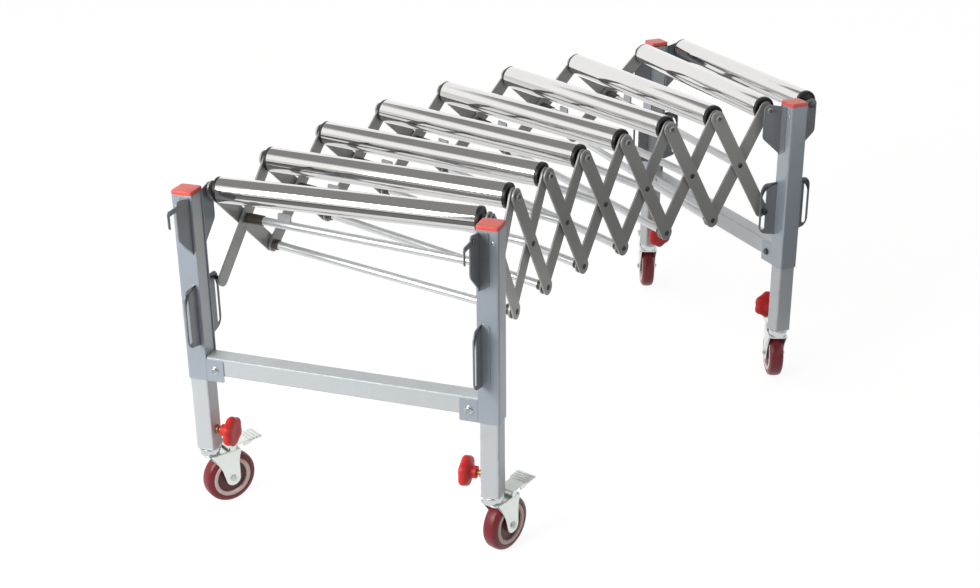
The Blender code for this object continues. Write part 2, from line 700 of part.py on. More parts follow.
def pedal_mesh():
    """The brake pedal about its pivot pin along Y: a lifted plate with grip ridges at its toe."""
    half = FORK_INSIDE - CLEARANCE * 2
    thick = PEDAL_THICKNESS / 2
    toe = PEDAL_LENGTH - PEDAL_HEEL
    pieces = [box((-PEDAL_HEEL, -half, -thick), (toe, half, thick))]
    for ridge in range(PEDAL_RIDGES):
        start = toe - PEDAL_RIDGE_SIZE - ridge * PEDAL_RIDGE_PITCH
        pieces.append(box((start - PEDAL_RIDGE_SIZE, -half + PEDAL_RIDGE_SIZE, thick - EMBED),
                          (start, half - PEDAL_RIDGE_SIZE, thick + PEDAL_RIDGE_SIZE)))
    plate = moved(join(pieces), Matrix.Rotation(-PEDAL_LIFT, 4, "Y"))
    pin = turned([(-FORK_OUTSIDE, PEDAL_PIN_RADIUS), (FORK_OUTSIDE, PEDAL_PIN_RADIUS)], ROD_SIDES)
    return join([plate, moved(pin, Matrix.Rotation(math.radians(-90), 4, "X"))])


def knob_mesh():
    """A lobed grip on a neck and a stud, along Z, with z = 0 at the tube's face."""
    stud_tip = -LEG_TUBE_WALL
    neck = KNOB_STANDOFF
    back = neck + KNOB_NECK_LENGTH
    front = back + KNOB_THICKNESS
    rings = [
        (stud_tip, STUD_RADIUS, 0.0), (neck, STUD_RADIUS, 0.0), (neck, KNOB_NECK_RADIUS, 0.0),
        (back, KNOB_RADIUS - KNOB_LOBE_DEPTH, KNOB_LOBE_DEPTH),
        (back + KNOB_THICKNESS / 2, KNOB_RADIUS, KNOB_LOBE_DEPTH),
        (front, KNOB_RADIUS - KNOB_LOBE_DEPTH * 2, KNOB_LOBE_DEPTH),
    ]
    points = KNOB_LOBES * 3
    bm = bmesh.new()
    loops = []
    for height, radius, lobe in rings:
        loop = []
        for index in range(points):
            angle = 2 * math.pi * index / points
            reach = radius + lobe * (math.cos(KNOB_LOBES * angle) - 1) / 1.5
            loop.append(bm.verts.new((reach * math.cos(angle), reach * math.sin(angle), height)))
        loops.append(loop)
    bm.faces.new(loops[0])
    bm.faces.new(loops[-1])
    for lower, upper in zip(loops, loops[1:]):
        for index in range(points):
            after = (index + 1) % points
            bm.faces.new((lower[index], lower[after], upper[after], upper[index]))
    return mesh_from(bm)


def end_frame(name, place, hooked, finishes):
    """Posts, leg tubes, caps, crossbar, legs, casters and knobs of one end, under an empty at its station."""
    empty = bpy.data.objects.new(name + "_end", None)
    bpy.context.scene.collection.objects.link(empty)
    empty.matrix_world = place
    add_part(name + "_crossbar", crossbar_mesh(), finishes["silver"], parent=empty, smooth=False)
    for label, side in SIDES.items():
        prefix = name + "_" + label
        local_side = side if name == "near" else -side
        centre = post_centre(local_side)
        post = post_mesh(local_side, hooked)
        add_part(prefix + "_post", post, finishes["coated"], parent=empty, smooth=False)
        add_part(prefix + "_cap", cap_mesh(local_side), finishes["red"], parent=empty)
        tube = leg_tube_mesh(local_side)
        add_part(prefix + "_leg_tube", tube, finishes["silver"], parent=empty, smooth=False)
        leg = inner_leg_mesh(local_side)
        add_part(prefix + "_inner_leg", leg, finishes["silver"], centre, empty, smooth=False)
        knob_place = knob_frame(local_side)
        add_part(prefix + "_knob", moved(knob_mesh(), knob_place), finishes["red"], knob_place, empty)
        swivel = centre @ Matrix.Rotation(CASTER_HEADINGS[prefix], 4, "Z")
        add_part(prefix + "_fork", moved(fork_mesh(), swivel), finishes["zinc"], swivel, empty)
        hub = swivel @ Matrix.Translation((WHEEL_TRAIL, 0.0, WHEEL_RADIUS))
        flat_down = Matrix.Rotation(math.radians(90), 4, "Y")
        add_part(prefix + "_wheel", moved(wheel_mesh(), hub @ flat_down), finishes["tyre"], hub, empty)
        hinge = swivel @ Matrix.Translation((PEDAL_PIVOT_REACH, 0.0, CROWN_TOP + PEDAL_PIVOT_RISE))
        add_part(prefix + "_pedal", moved(pedal_mesh(), hinge), finishes["zinc"], hinge, empty)
    return empty


def roller_frame(station):
    """The frame of a roller axle at its height."""
    return station @ Matrix.Translation((0.0, 0.0, AXLE_HEIGHT))


def stand_on_origin():
    """Shift the whole table so that the middle of its box stands on the origin."""
    bpy.context.view_layer.update()
    corners = []
    for part in bpy.data.objects:
        if part.type == "MESH":
            corners += [part.matrix_world @ vertex.co for vertex in part.data.vertices]
    low = Vector([min(corner[axis] for corner in corners) for axis in range(3)])
    high = Vector([max(corner[axis] for corner in corners) for axis in range(3)])
    shift = Vector(((low.x + high.x) / 2, (low.y + high.y) / 2, low.z))
    for part in bpy.data.objects:
        if part.parent is None:
            part.matrix_world = Matrix.Translation(-shift) @ part.matrix_world
    bpy.context.view_layer.update()


def build_table():
    """Build every part of the table."""
    clear_scene()
    finishes = {
        "silver": finish_material("silver_paint", (0.62, 0.64, 0.66), 0.35, 0.7),
        "coated": finish_material("grey_coating", (0.34, 0.38, 0.42), 0.3, 0.6),
        "link": finish_material("link_grey", (0.16, 0.16, 0.16), 0.5, 0.4),
        "chrome": finish_material("chromed_steel", (0.75, 0.75, 0.76), 0.12, 1.0),
        "zinc": finish_material("zinc_plate", (0.66, 0.68, 0.68), 0.35, 1.0),
        "red": finish_material("red_plastic", (0.75, 0.06, 0.05), 0.4, 0.0),
        "tyre": finish_material("maroon_tyre", (0.22, 0.02, 0.03), 0.35, 0.0),
    }
    stations = station_frames()
    lattice = Lattice(stations)
    near = end_frame("near", stations[0], True, finishes)
    turned_round = Matrix.Rotation(math.pi, 4, "Z")
    far = end_frame("far", stations[-1] @ turned_round, False, finishes)

    at_station = Matrix.Translation((0.0, 0.0, AXLE_HEIGHT))
    beyond_post = Matrix.Translation((-2 * POST_SETBACK, 0.0, AXLE_HEIGHT))
    head_start = EAR_OUTER + PIVOT_CLEARANCE
    add_part("near_axle", roller_axle(at_station, head_start), finishes["zinc"], at_station, near)
    add_part("far_axle", roller_axle(beyond_post, head_start), finishes["zinc"], beyond_post, far)

    roller_places = [roller_frame(station) for station in stations]
    roller_places.append(stations[-1] @ turned_round @ beyond_post)
    for number, place in enumerate(roller_places, 1):
        add_part("roller_%d" % number, moved(roller_mesh(), place), finishes["chrome"], place)

    for section in range(SECTION_COUNT):
        upper = roller_frame(stations[section])
        add_part("arm_b%d" % (section + 1), arm_b(lattice, section), finishes["link"], upper)
        left, right = lattice.middle(section, 1), lattice.middle(section, -1)
        crossing = aim((left + right) / 2, left - right)
        add_part("arm_a%d" % (section + 1), arm_a(lattice, section), finishes["link"], crossing)
    stand_on_origin()


build_table()
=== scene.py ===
"""Roller table on casters, dressed for the studio.

Each section makes one piece, or one group of like pieces, in the order in which the table is put
together: end frames, lattice arms, rollers, sliding legs, casters and lock knobs.
"""
import json
import math

import bpy
import numpy as np
from mathutils import Matrix


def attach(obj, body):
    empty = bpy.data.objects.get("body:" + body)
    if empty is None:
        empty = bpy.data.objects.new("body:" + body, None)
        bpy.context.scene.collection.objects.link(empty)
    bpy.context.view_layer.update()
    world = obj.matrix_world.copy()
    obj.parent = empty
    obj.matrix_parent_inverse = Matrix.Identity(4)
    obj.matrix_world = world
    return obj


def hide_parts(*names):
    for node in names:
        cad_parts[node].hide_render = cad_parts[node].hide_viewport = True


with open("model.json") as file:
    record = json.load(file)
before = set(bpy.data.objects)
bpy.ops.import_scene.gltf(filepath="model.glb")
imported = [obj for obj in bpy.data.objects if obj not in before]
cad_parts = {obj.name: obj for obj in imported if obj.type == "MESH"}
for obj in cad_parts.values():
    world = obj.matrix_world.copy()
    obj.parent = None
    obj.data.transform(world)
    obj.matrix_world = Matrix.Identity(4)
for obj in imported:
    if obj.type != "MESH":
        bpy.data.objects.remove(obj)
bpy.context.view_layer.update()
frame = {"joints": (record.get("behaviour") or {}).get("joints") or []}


# Camera, standing behind the near end and a little above the roller bed, off its right corner.
# Its place in the near end's own axes was worked out from post corners and roller ends in the photograph.
IMAGE_WIDTH = 980
FOCAL_PIXELS = 1514.39
SENSOR_WIDTH = 36.0
CAMERA_PLACE = (-2.3727, -1.0984, 1.6038)
CAMERA_YAW = 0.3337
CAMERA_PITCH = -0.4093
CAMERA_ROLL = -0.0088
UP = np.array([0.0, 0.0, 1.0])
joints = {row["name"]: row for row in frame["joints"]}


def joint_place(name):
    """Where a joint sits at rest."""
    return np.array(joints[name]["pos_m"])


def joint_axis(name):
    """The direction of a joint's axis."""
    return np.array(joints[name]["axis"])


def axes(origin, first, second, third):
    """A 4 x 4 frame whose columns are three directions and an origin."""
    matrix = np.eye(4)
    matrix[:3, 0] = first
    matrix[:3, 1] = second
    matrix[:3, 2] = third
    matrix[:3, 3] = origin
    return matrix


near_across = joint_axis("lattice_fold")
near_along = np.cross(near_across, UP)
near_end = axes(joint_place("lattice_fold") * (1, 1, 0), near_along, near_across, UP)
flat = math.cos(CAMERA_PITCH)
forward = np.array([math.cos(CAMERA_YAW) * flat, math.sin(CAMERA_YAW) * flat, math.sin(CAMERA_PITCH)])
level = np.array([math.sin(CAMERA_YAW), -math.cos(CAMERA_YAW), 0.0])
rise = np.cross(level, forward)
sideways = math.cos(CAMERA_ROLL) * level + math.sin(CAMERA_ROLL) * rise
upwards = math.cos(CAMERA_ROLL) * rise - math.sin(CAMERA_ROLL) * level
camera_data = bpy.data.cameras.new("camera")
camera_data.sensor_width = SENSOR_WIDTH
camera_data.lens = FOCAL_PIXELS / IMAGE_WIDTH * SENSOR_WIDTH
camera = bpy.data.objects.new("camera", camera_data)
camera.matrix_world = Matrix(near_end @ axes(CAMERA_PLACE, sideways, upwards, -forward))
bpy.context.scene.collection.objects.link(camera)
bpy.context.scene.camera = camera


# Studio: a pale matt floor and backdrop under a dim ceiling, a broad band of soft light along the left and
# a soft lamp above the hooked end. Bright walls beyond the far end and on the right and two dark cards on
# the floor show only in reflections, so that plated tubes have bands.
FLOOR_HALF = 40.0
FLOOR_GLOW = 0.90
FLOOR_PAINT = 0.22
FLOOR_BOUNCE = 0.60
WHITE = (1.0, 1.0, 1.0, 1.0)
DOME_TINT = (1.0, 0.99, 0.975, 1.0)
DOME_LEVEL = 0.35
LEFT_LIGHT = {"gain": 1.0, "turn": 106.0, "height": 18.0, "outer": 54.0, "inner": 42.0}
CEILING_CUT = {"gain": -1.0, "turn": 0.0, "height": 90.0, "outer": 54.0, "inner": 42.0}
DARK_RIGHT = {"gain": -0.24, "turn": -100.0, "height": 5.0, "outer": 85.0, "inner": 40.0}
LAMP_PLACE = (-1.9, 0.9, 1.65)
LAMP_AIM = (0.0, 0.0, 0.40)
LAMP_SIZE = 1.2
LAMP_WATTS = 45.0
BACKING_SHADE = 0.16
BACKING_ROUGHNESS = 0.9
CARD_HEIGHT = 0.002
CARD_BEHIND = [(-6.0, -6.0), (-0.62, 6.0)]
CARD_RIGHT = [(-0.62, -6.0), (6.0, -1.05)]
WALL_GLOW = 1.15
WALL_AHEAD = [(2.7, -1.4), (0.9, 2.1), 0.0, 1.85]
WALL_RIGHT = [(-2.6, -2.1), (3.4, -2.1), 0.3, 2.0]
BACKDROP_RADIUS = 14.0
BACKDROP_HEIGHT = 3.4
BACKDROP_SIDES = 64
ONE_QUAD = [(0, 1, 2, 3)]


def node(tree, kind, feeds=None, **settings):
    """Add a shader node, change its settings, and feed its inputs with sockets or plain values."""
    made = tree.nodes.new("ShaderNode" + kind)
    for label, value in settings.items():
        setattr(made, label, value)
    for label, value in (feeds or {}).items():
        if isinstance(value, bpy.types.NodeSocket):
            tree.links.new(value, made.inputs[label])
        else:
            made.inputs[label].default_value = value
    return made


def math_node(tree, operation, *values):
    """A sum of two or three numbers or sockets; gives the result's socket."""
    return node(tree, "Math", dict(enumerate(values)), operation=operation).outputs[0]


def between(tree, value, low, high, least, most):
    """A value brought smoothly from the range low to high into the range least to most."""
    feeds = {"Value": value, "From Min": low, "From Max": high, "To Min": least, "To Max": most}
    return node(tree, "MapRange", feeds, interpolation_type="SMOOTHSTEP").outputs["Result"]


def light_patch(tree, direction, gain, turn, height, outer, inner):
    """Light round a direction, given by its turn and height in the near end's axes: none beyond the outer
    angle, the whole gain within the inner angle. All angles are in degrees."""
    turn, height, outer, inner = np.radians([turn, height, outer, inner])
    local = (math.cos(height) * math.cos(turn), math.cos(height) * math.sin(turn), math.sin(height))
    towards = near_end[:3, :3] @ np.array(local)
    match = node(tree, "VectorMath", {0: direction, 1: towards}, operation="DOT_PRODUCT").outputs["Value"]
    return between(tree, match, math.cos(outer), math.cos(inner), 0.0, gain)


def unit(vector):
    """A vector's direction, of length 1."""
    return vector / np.linalg.norm(vector)


def card(low, high):
    """The corners of a card that lies just above the floor between two corners in plan."""
    plan = [low, (high[0], low[1]), high, (low[0], high[1])]
    return [(*corner, CARD_HEIGHT) for corner in plan]


def wall(start, end, low, high):
    """The corners of a wall that stands on a line in plan."""
    return [(*start, low), (*end, low), (*end, high), (*start, high)]


def backing(name, corners, faces, glow, seen=False):
    """A plain matt surface in the near end's axes that shows in reflections, and to the camera if seen."""
    finish = bpy.data.materials.new(name)
    finish.use_nodes = True
    shader = finish.node_tree.nodes["Principled BSDF"]
    shader.inputs["Base Color"].default_value = (BACKING_SHADE, BACKING_SHADE, BACKING_SHADE, 1.0)
    shader.inputs["Roughness"].default_value = BACKING_ROUGHNESS
    shader.inputs["Emission Color"].default_value = WHITE
    shader.inputs["Emission Strength"].default_value = glow
    mesh = bpy.data.meshes.new(name)
    mesh.from_pydata((np.array(corners) @ near_end[:3, :3].T + near_end[:3, 3]).tolist(), [], faces)
    mesh.materials.append(finish)
    made = bpy.data.objects.new(name, mesh)
    made.visible_camera = seen
    made.visible_shadow = False
    made.visible_diffuse = False
    bpy.context.scene.collection.objects.link(made)


world = bpy.data.worlds.new("studio")
bpy.context.scene.world = world
world.use_nodes = True
sky = world.node_tree
sky.nodes.clear()
direction = node(sky, "TexCoord").outputs["Generated"]
below = math_node(sky, "ADD", light_patch(sky, direction, **CEILING_CUT), 1.0)
light = math_node(sky, "MULTIPLY_ADD", light_patch(sky, direction, **LEFT_LIGHT), below, DOME_LEVEL)
light = math_node(sky, "ADD", light_patch(sky, direction, **DARK_RIGHT), light)
dome = node(sky, "Background", {"Color": DOME_TINT, "Strength": light})
node(sky, "OutputWorld", {"Surface": dome.outputs["Background"]})

lamp_data = bpy.data.lights.new("soft_lamp", "AREA")
lamp_data.size = LAMP_SIZE
lamp_data.energy = LAMP_WATTS
lamp = bpy.data.objects.new("soft_lamp", lamp_data)
lamp_back = unit(np.array(LAMP_PLACE) - np.array(LAMP_AIM))
lamp_side = unit(np.cross(UP, lamp_back))
lamp.matrix_world = Matrix(near_end @ axes(LAMP_PLACE, lamp_side, np.cross(lamp_back, lamp_side), lamp_back))
lamp.visible_camera = False
bpy.context.scene.collection.objects.link(lamp)

floor_mesh = bpy.data.meshes.new("floor")
floor_corners = FLOOR_HALF * np.array([(-1, -1, 0), (1, -1, 0), (1, 1, 0), (-1, 1, 0)])
floor_mesh.from_pydata(floor_corners.tolist(), [], ONE_QUAD)
floor_finish = bpy.data.materials.new("pale_floor")
floor_finish.use_nodes = True
ground = floor_finish.node_tree
ground.nodes.clear()
path = node(ground, "LightPath").outputs
seen = math_node(ground, "MAXIMUM", path["Is Camera Ray"], path["Is Glossy Ray"])
seen = math_node(ground, "MAXIMUM", seen, path["Is Transmission Ray"])
glow = node(ground, "Emission", {"Color": WHITE, "Strength": FLOOR_GLOW})
paint = node(ground, "BsdfDiffuse", {"Color": (FLOOR_PAINT, FLOOR_PAINT, FLOOR_PAINT, 1.0)})
bounce = node(ground, "BsdfDiffuse", {"Color": (FLOOR_BOUNCE, FLOOR_BOUNCE, FLOOR_BOUNCE, 1.0)})
shown = node(ground, "AddShader", {0: glow.outputs[0], 1: paint.outputs[0]})
either = node(ground, "MixShader", {0: seen, 1: bounce.outputs[0], 2: shown.outputs[0]})
node(ground, "OutputMaterial", {"Surface": either.outputs[0]})
floor_mesh.materials.append(floor_finish)
floor = bpy.data.objects.new("floor", floor_mesh)
bpy.context.scene.collection.objects.link(floor)

backing("card_behind", card(*CARD_BEHIND), ONE_QUAD, 0.0)
backing("card_right", card(*CARD_RIGHT), ONE_QUAD, 0.0)
backing("wall_ahead", wall(*WALL_AHEAD), ONE_QUAD, WALL_GLOW)
backing("wall_right", wall(*WALL_RIGHT), ONE_QUAD, WALL_GLOW)
ring = []
ring_faces = []
for side in range(BACKDROP_SIDES):
    turn = 2 * math.pi * side / BACKDROP_SIDES
    foot = (BACKDROP_RADIUS * math.cos(turn), BACKDROP_RADIUS * math.sin(turn))
    ring += [(*foot, 0.0), (*foot, BACKDROP_HEIGHT)]
    low, after = 2 * side, 2 * ((side + 1) % BACKDROP_SIDES)
    ring_faces.append((low, after, after + 1, low + 1))
backing("backdrop", ring, ring_faces, FLOOR_GLOW, seen=True)


# Leg tubes: square steel tube sprayed light silver, one inside each post and showing below it.
# A round weld nut on the inner face takes the lock knob's stud.
TUBE_SIZE = 0.0374
TUBE_WALL = 0.002
TUBE_BEND = 0.0038
LEG_BOTTOM = 0.135
LEG_TOP = 0.665
POST_SETBACK = 0.055
POST_SPACING = 0.2975
WELD_NUT = [(-0.0004, 0.0090), (0.0052, 0.0090), (0.0060, 0.0082)]
LEAST_STEP = 1e-7
LEAST_BEND = 0.0008
WORN_CURVE = 120.0
SHARP_ANGLE = math.radians(40.0)
MARK_DULLING = -0.35
MARK_ROUGHNESS = 0.6
WEAR_ROUGHNESS = 0.08
STREAK_ROUGHNESS = 0.5
STREAK_HEIGHT = 2.0
BUMP_DEPTH = 0.0004
COAT_ROUGHNESS = 0.12
CORNERS = [(end, end + "_" + side) for end in ("near", "far") for side in ("left", "right")]

station_names = ["lattice_fold"] + ["top_pivot_%d" % number for number in range(2, 8)] + ["far_frame_pivot"]
station_place = np.array([joint_place(name) for name in station_names])
station_across = np.array([joint_axis(name) for name in station_names])
far_along = np.cross(station_across[-1], UP)
ends = {"near": near_end, "far": axes(station_place[-1] * (1, 1, 0), -far_along, -station_across[-1], UP)}
local_side = {"near_left": 1, "near_right": -1, "far_left": -1, "far_right": 1}


class Shape:
    """Points, four-sided faces, end faces, a wear mask per point and each point's place in its own axes."""

    def __init__(self, points, quads, caps, edge, own=None):
        self.points = points
        self.quads = quads
        self.caps = caps
        self.edge = edge
        self.own = points if own is None else own

    def placed(self, *frames):
        """The shape carried by frames, the last one first; a frame that mirrors turns the faces round."""
        whole = np.linalg.multi_dot(frames) if len(frames) > 1 else frames[0]
        turn = -1 if np.linalg.det(whole[:3, :3]) < 0 else 1
        points = self.points @ whole[:3, :3].T + whole[:3, 3]
        caps = [cap[::turn] for cap in self.caps]
        return Shape(points, self.quads[:, ::turn], caps, self.edge, self.own)


def skin(rings, edge, closed=False):
    """Faces over stacked closed loops: each quad joins neighbours on two loops, and flat faces close the end
    loops, or with closed the last loop joins the first. Faces turn so that the volume is positive."""
    count, size = rings.shape[:2]
    points = rings.reshape(-1, 3)
    index = np.arange(count * size).reshape(count, size)
    lower = index if closed else index[:-1]
    upper = np.roll(index, -1, 0) if closed else index[1:]
    corners = [lower, np.roll(lower, -1, 1), np.roll(upper, -1, 1), upper]
    quads = np.stack(corners, -1).reshape(-1, 4)
    caps = [] if closed else [index[0][::-1], index[-1]]
    first, second, third, fourth = (points[quads[:, corner]] - points.mean(0) for corner in range(4))
    volume = np.sum(first * (np.cross(second, third) + np.cross(third, fourth)))
    turn = -1 if volume < 0 else 1
    return Shape(points, quads[:, ::turn], [cap[::turn] for cap in caps], edge.reshape(-1))


def tidy(path, closed=True):
    """A path without points that lie on the one before."""
    step = path - np.roll(path, 1, 0)
    keep = np.linalg.norm(step, axis=1) > LEAST_STEP
    if not closed:
        keep[0] = True
    return path[keep]


def rounded(corners, radii, steps=5, closed=True):
    """Round a path's corners: near a corner P it follows (1-t)^2 A + 2t(1-t) P + t^2 B, where A and B lie
    one radius before and after P. An open path keeps its two ends."""
    corner = np.asarray(corners, float)
    reach = np.array(np.broadcast_to(radii, len(corner)), float)[:, None]
    if not closed:
        reach[[0, -1]] = 0.0
    before = np.roll(corner, 1, 0) - corner
    after = np.roll(corner, -1, 0) - corner
    start = corner + reach * before / np.linalg.norm(before, axis=1, keepdims=True)
    end = corner + reach * after / np.linalg.norm(after, axis=1, keepdims=True)
    share = np.linspace(0.0, 1.0, steps + 1)[None, :, None]
    curve = (1 - share) ** 2 * start[:, None] + 2 * share * (1 - share) * corner[:, None]
    curve = curve + share ** 2 * end[:, None]
    return tidy(curve.reshape(-1, 2), closed)


def counter_clockwise(outline):
    """The outline in counter-clockwise order, by the sign of its area."""
    ahead = np.roll(outline, -1, 0)
    area = np.sum(outline[:, 0] * ahead[:, 1] - outline[:, 1] * ahead[:, 0])
    return outline if area > 0 else outline[::-1]


def guarded(outline, margin=0.003):
    """The outline with two more points on every long side, near its ends, to keep wear at corners."""
    step = np.roll(outline, -1, 0) - outline
    length = np.linalg.norm(step, axis=1)[:, None]
    inwards = step / length * margin
    long_side = length[:, 0] > 4 * margin
    spots = np.stack([outline, outline + inwards, outline + step - inwards], 1)
    keep = np.stack([np.ones_like(long_side), long_side, long_side], 1)
    return spots[keep]


def bend_mask(path):
    """Wear along tight bends: 0 on straights and easy curves, 1 where a path's turn per length is high."""
    ahead = np.roll(path, -1, 0) - path
    behind = path - np.roll(path, 1, 0)
    length = (np.linalg.norm(ahead, axis=1) + np.linalg.norm(behind, axis=1)) / 2
    crossed = behind[:, 0] * ahead[:, 1] - behind[:, 1] * ahead[:, 0]
    turn = np.abs(np.arctan2(crossed, np.sum(ahead * behind, axis=1)))
    return np.clip((turn / length - WORN_CURVE) / WORN_CURVE, 0.0, 1.0)


def inset(outline, depths):
    """The outline moved inwards by each depth along the mean of its two side normals, longer at corners."""
    ahead = np.roll(outline, -1, 0) - outline
    ahead = ahead / np.linalg.norm(ahead, axis=1, keepdims=True)
    normal = np.stack([-ahead[:, 1], ahead[:, 0]], 1)
    mean = normal + np.roll(normal, 1, 0)
    mean = mean / np.linalg.norm(mean, axis=1, keepdims=True)
    stretch = 1 / np.maximum(np.sum(mean * normal, axis=1), 0.5)
    return outline + np.asarray(depths)[:, None, None] * (mean * stretch[:, None])


def rim(low, high, soft, steps=3):
    """Depths, heights and wear of a plate's side: quarter circles of radius soft at the lower and the upper
    rim, with plain rings beyond them on the flats and on the side between."""
    angle = np.linspace(0.0, math.pi / 2, steps + 1)
    fall, lift = soft * (1 - np.sin(angle)), soft * (1 - np.cos(angle))
    depth = np.concatenate([[2 * soft], fall, [0.0, 0.0], lift, [2 * soft]])
    height = np.concatenate([[low], low + lift, [low + 2 * soft, high - 2 * soft], high - fall, [high]])
    worn = np.ones(steps + 1)
    return depth, height, np.concatenate([[0.0], worn, [0.0, 0.0], worn, [0.0]])


def at_heights(loops, height):
    """Flat loops raised each to its own height."""
    level_up = np.broadcast_to(height[:, None, None], loops.shape[:2] + (1,))
    return np.concatenate([loops, level_up], -1)


def slab(outline, low, high, soft=0.0005):
    """A plate: an outline carried from low to high, with both rims rolled by a quarter circle."""
    outline = guarded(counter_clockwise(tidy(np.asarray(outline, float))))
    depth, height, worn = rim(low, high, soft)
    edge = np.maximum(worn[:, None], bend_mask(outline)[None, :])
    return skin(at_heights(inset(outline, depth), height), edge)


def slab_ring(outer, inner, low, high, soft=0.0004):
    """A plate with an opening: the outer outline goes up and the inner one, of as many points, comes down,
    with every rim rolled as in slab."""
    outer, inner = (guarded(counter_clockwise(outline)) for outline in (outer, inner))
    depth, height, worn = rim(low, high, soft)
    loops = np.concatenate([inset(outer, depth), inset(inner, -depth[::-1])])
    edge = np.concatenate([
        np.maximum(worn[:, None], bend_mask(outer)[None, :]), np.repeat(worn[:, None], len(inner), 1),
    ])
    return skin(at_heights(loops, np.concatenate([height, height[::-1]])), edge, closed=True)


def turned(profile, sides, closed=False):
    """A profile turned about z: height h and radius r at angle a give (r cos a, r sin a, h)."""
    profile = np.asarray(profile, float)
    angle = np.linspace(0.0, 2 * math.pi, sides, endpoint=False)
    height, radius = profile[:, :1], profile[:, 1:]
    rings = np.stack([radius * np.cos(angle), radius * np.sin(angle), height + 0 * angle], -1)
    worn = bend_mask(profile)
    if not closed:
        worn[[0, -1]] = 0.0
    return skin(rings, np.repeat(worn[:, None], sides, 1), closed)


def pointing(origin, axis):
    """A frame whose z runs along an axis and whose x lies nearest to upright."""
    along = unit(np.asarray(axis, float))
    steep = unit(UP - along * along[2])
    return axes(origin, steep, np.cross(along, steep), along)


def joint_frame(name):
    """A frame at a joint, with z along the joint's axis."""
    return pointing(joint_place(name), joint_axis(name))


def piece(name, shapes, finish, body, stands_for=None):
    """One object made of shapes, with its finish, riding on a body and standing for a named plain part."""
    starts = np.cumsum([0] + [len(shape.points) for shape in shapes])
    faces = []
    for shape, start in zip(shapes, starts):
        faces += (shape.quads + start).tolist()
        faces += [(cap + start).tolist() for cap in shape.caps]
    mesh = bpy.data.meshes.new(name)
    mesh.from_pydata(np.concatenate([shape.points for shape in shapes]).tolist(), [], faces)
    edge = mesh.attributes.new("edge", "FLOAT", "POINT")
    edge.data.foreach_set("value", np.concatenate([shape.edge for shape in shapes]))
    own = mesh.attributes.new("own", "FLOAT_VECTOR", "POINT")
    own.data.foreach_set("vector", np.concatenate([shape.own for shape in shapes]).ravel())
    mesh.shade_smooth()
    mesh.set_sharp_from_angle(angle=SHARP_ANGLE)
    mesh.materials.append(finish)
    made = bpy.data.objects.new(name, mesh)
    bpy.context.scene.collection.objects.link(made)
    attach(made, body)
    if stands_for:
        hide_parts(stands_for)


def seen_colour(screen):
    """A colour given as seen on a screen, 0 to 255, as the shader's linear colour."""
    share = np.array(screen) / 255
    linear = np.where(share < 0.04045, share / 12.92, ((share + 0.055) / 1.055) ** 2.4)
    return (*linear.tolist(), 1.0)


def effect_group(name, takes, gives):
    """An empty node group with its inputs and its number outputs."""
    group = bpy.data.node_groups.new(name, "ShaderNodeTree")
    for label, kind in takes.items():
        group.interface.new_socket(label, in_out="INPUT", socket_type="NodeSocket" + kind)
    for label in gives:
        group.interface.new_socket(label, in_out="OUTPUT", socket_type="NodeSocketFloat")
    start = group.nodes.new("NodeGroupInput")
    end = group.nodes.new("NodeGroupOutput")
    return group, start.outputs, end.inputs


def grain(tree, place, scale, detail, roughness=0.55):
    """Noise of a scale over a place; gives the socket of its value."""
    feeds = {"Vector": place, "Scale": scale, "Detail": detail, "Roughness": roughness}
    return node(tree, "TexNoise", feeds).outputs[0]


def worn_edges_group():
    """Wear: the edge mask broken up by fine and coarse noise, so that rims are rubbed in patches."""
    takes = {"Place": "Vector", "Edge": "Float", "Amount": "Float"}
    group, start, end = effect_group("worn_edges", takes, ["Wear"])
    noise = grain(group, start["Place"], scale=60.0, detail=5.0, roughness=0.65)
    patch = math_node(group, "MULTIPLY", noise, start["Edge"])
    group.links.new(between(group, patch, 0.38, 0.62, 0.0, start["Amount"]), end["Wear"])
    return group


def sprayed_skin_group():
    """Sprayed or moulded skin: a fine peel height and a slow change of shade about 1."""
    takes = {"Place": "Vector", "Fineness": "Float", "Spread": "Float"}
    group, start, end = effect_group("sprayed_skin", takes, ["Peel", "Shade"])
    group.links.new(grain(group, start["Place"], start["Fineness"], detail=2.0), end["Peel"])
    slow = math_node(group, "SUBTRACT", grain(group, start["Place"], scale=11.0, detail=4.0), 0.5)
    group.links.new(math_node(group, "MULTIPLY_ADD", slow, start["Spread"], 1.0), end["Shade"])
    return group


def handling_marks_group():
    """Marks of use: smudges in broad patches and short fine scratches at two slants."""
    group, start, end = effect_group("handling_marks", {"Place": "Vector", "Amount": "Float"}, ["Marks"])
    cloud = grain(group, start["Place"], scale=26.0, detail=6.0, roughness=0.65)
    smudge = between(group, cloud, 0.50, 0.72, 0.0, 1.0)
    slanted = node(group, "Mapping", {
        "Vector": start["Place"], "Rotation": (0.5, 0.9, 0.4), "Scale": (900.0, 900.0, 22.0),
    }).outputs[0]
    scratch = between(group, grain(group, slanted, scale=1.0, detail=1.0), 0.70, 0.76, 0.0, 0.8)
    both = math_node(group, "MAXIMUM", smudge, scratch)
    group.links.new(math_node(group, "MULTIPLY", both, start["Amount"]), end["Marks"])
    return group


def drawn_streaks_group():
    """Streaks of drawing or rolling: noise squeezed across a piece and stretched along its own z axis."""
    takes = {"Own": "Vector", "Across": "Float", "Along": "Float"}
    group, start, end = effect_group("drawn_streaks", takes, ["Streak"])
    scales = {"X": start["Across"], "Y": start["Across"], "Z": start["Along"]}
    stretch = node(group, "CombineXYZ", scales).outputs[0]
    place = node(group, "VectorMath", {0: start["Own"], 1: stretch}, operation="MULTIPLY").outputs[0]
    group.links.new(grain(group, place, scale=1.0, detail=3.0), end["Streak"])
    return group


worn_edges = worn_edges_group()
sprayed_skin = sprayed_skin_group()
handling_marks = handling_marks_group()
drawn_streaks = drawn_streaks_group()


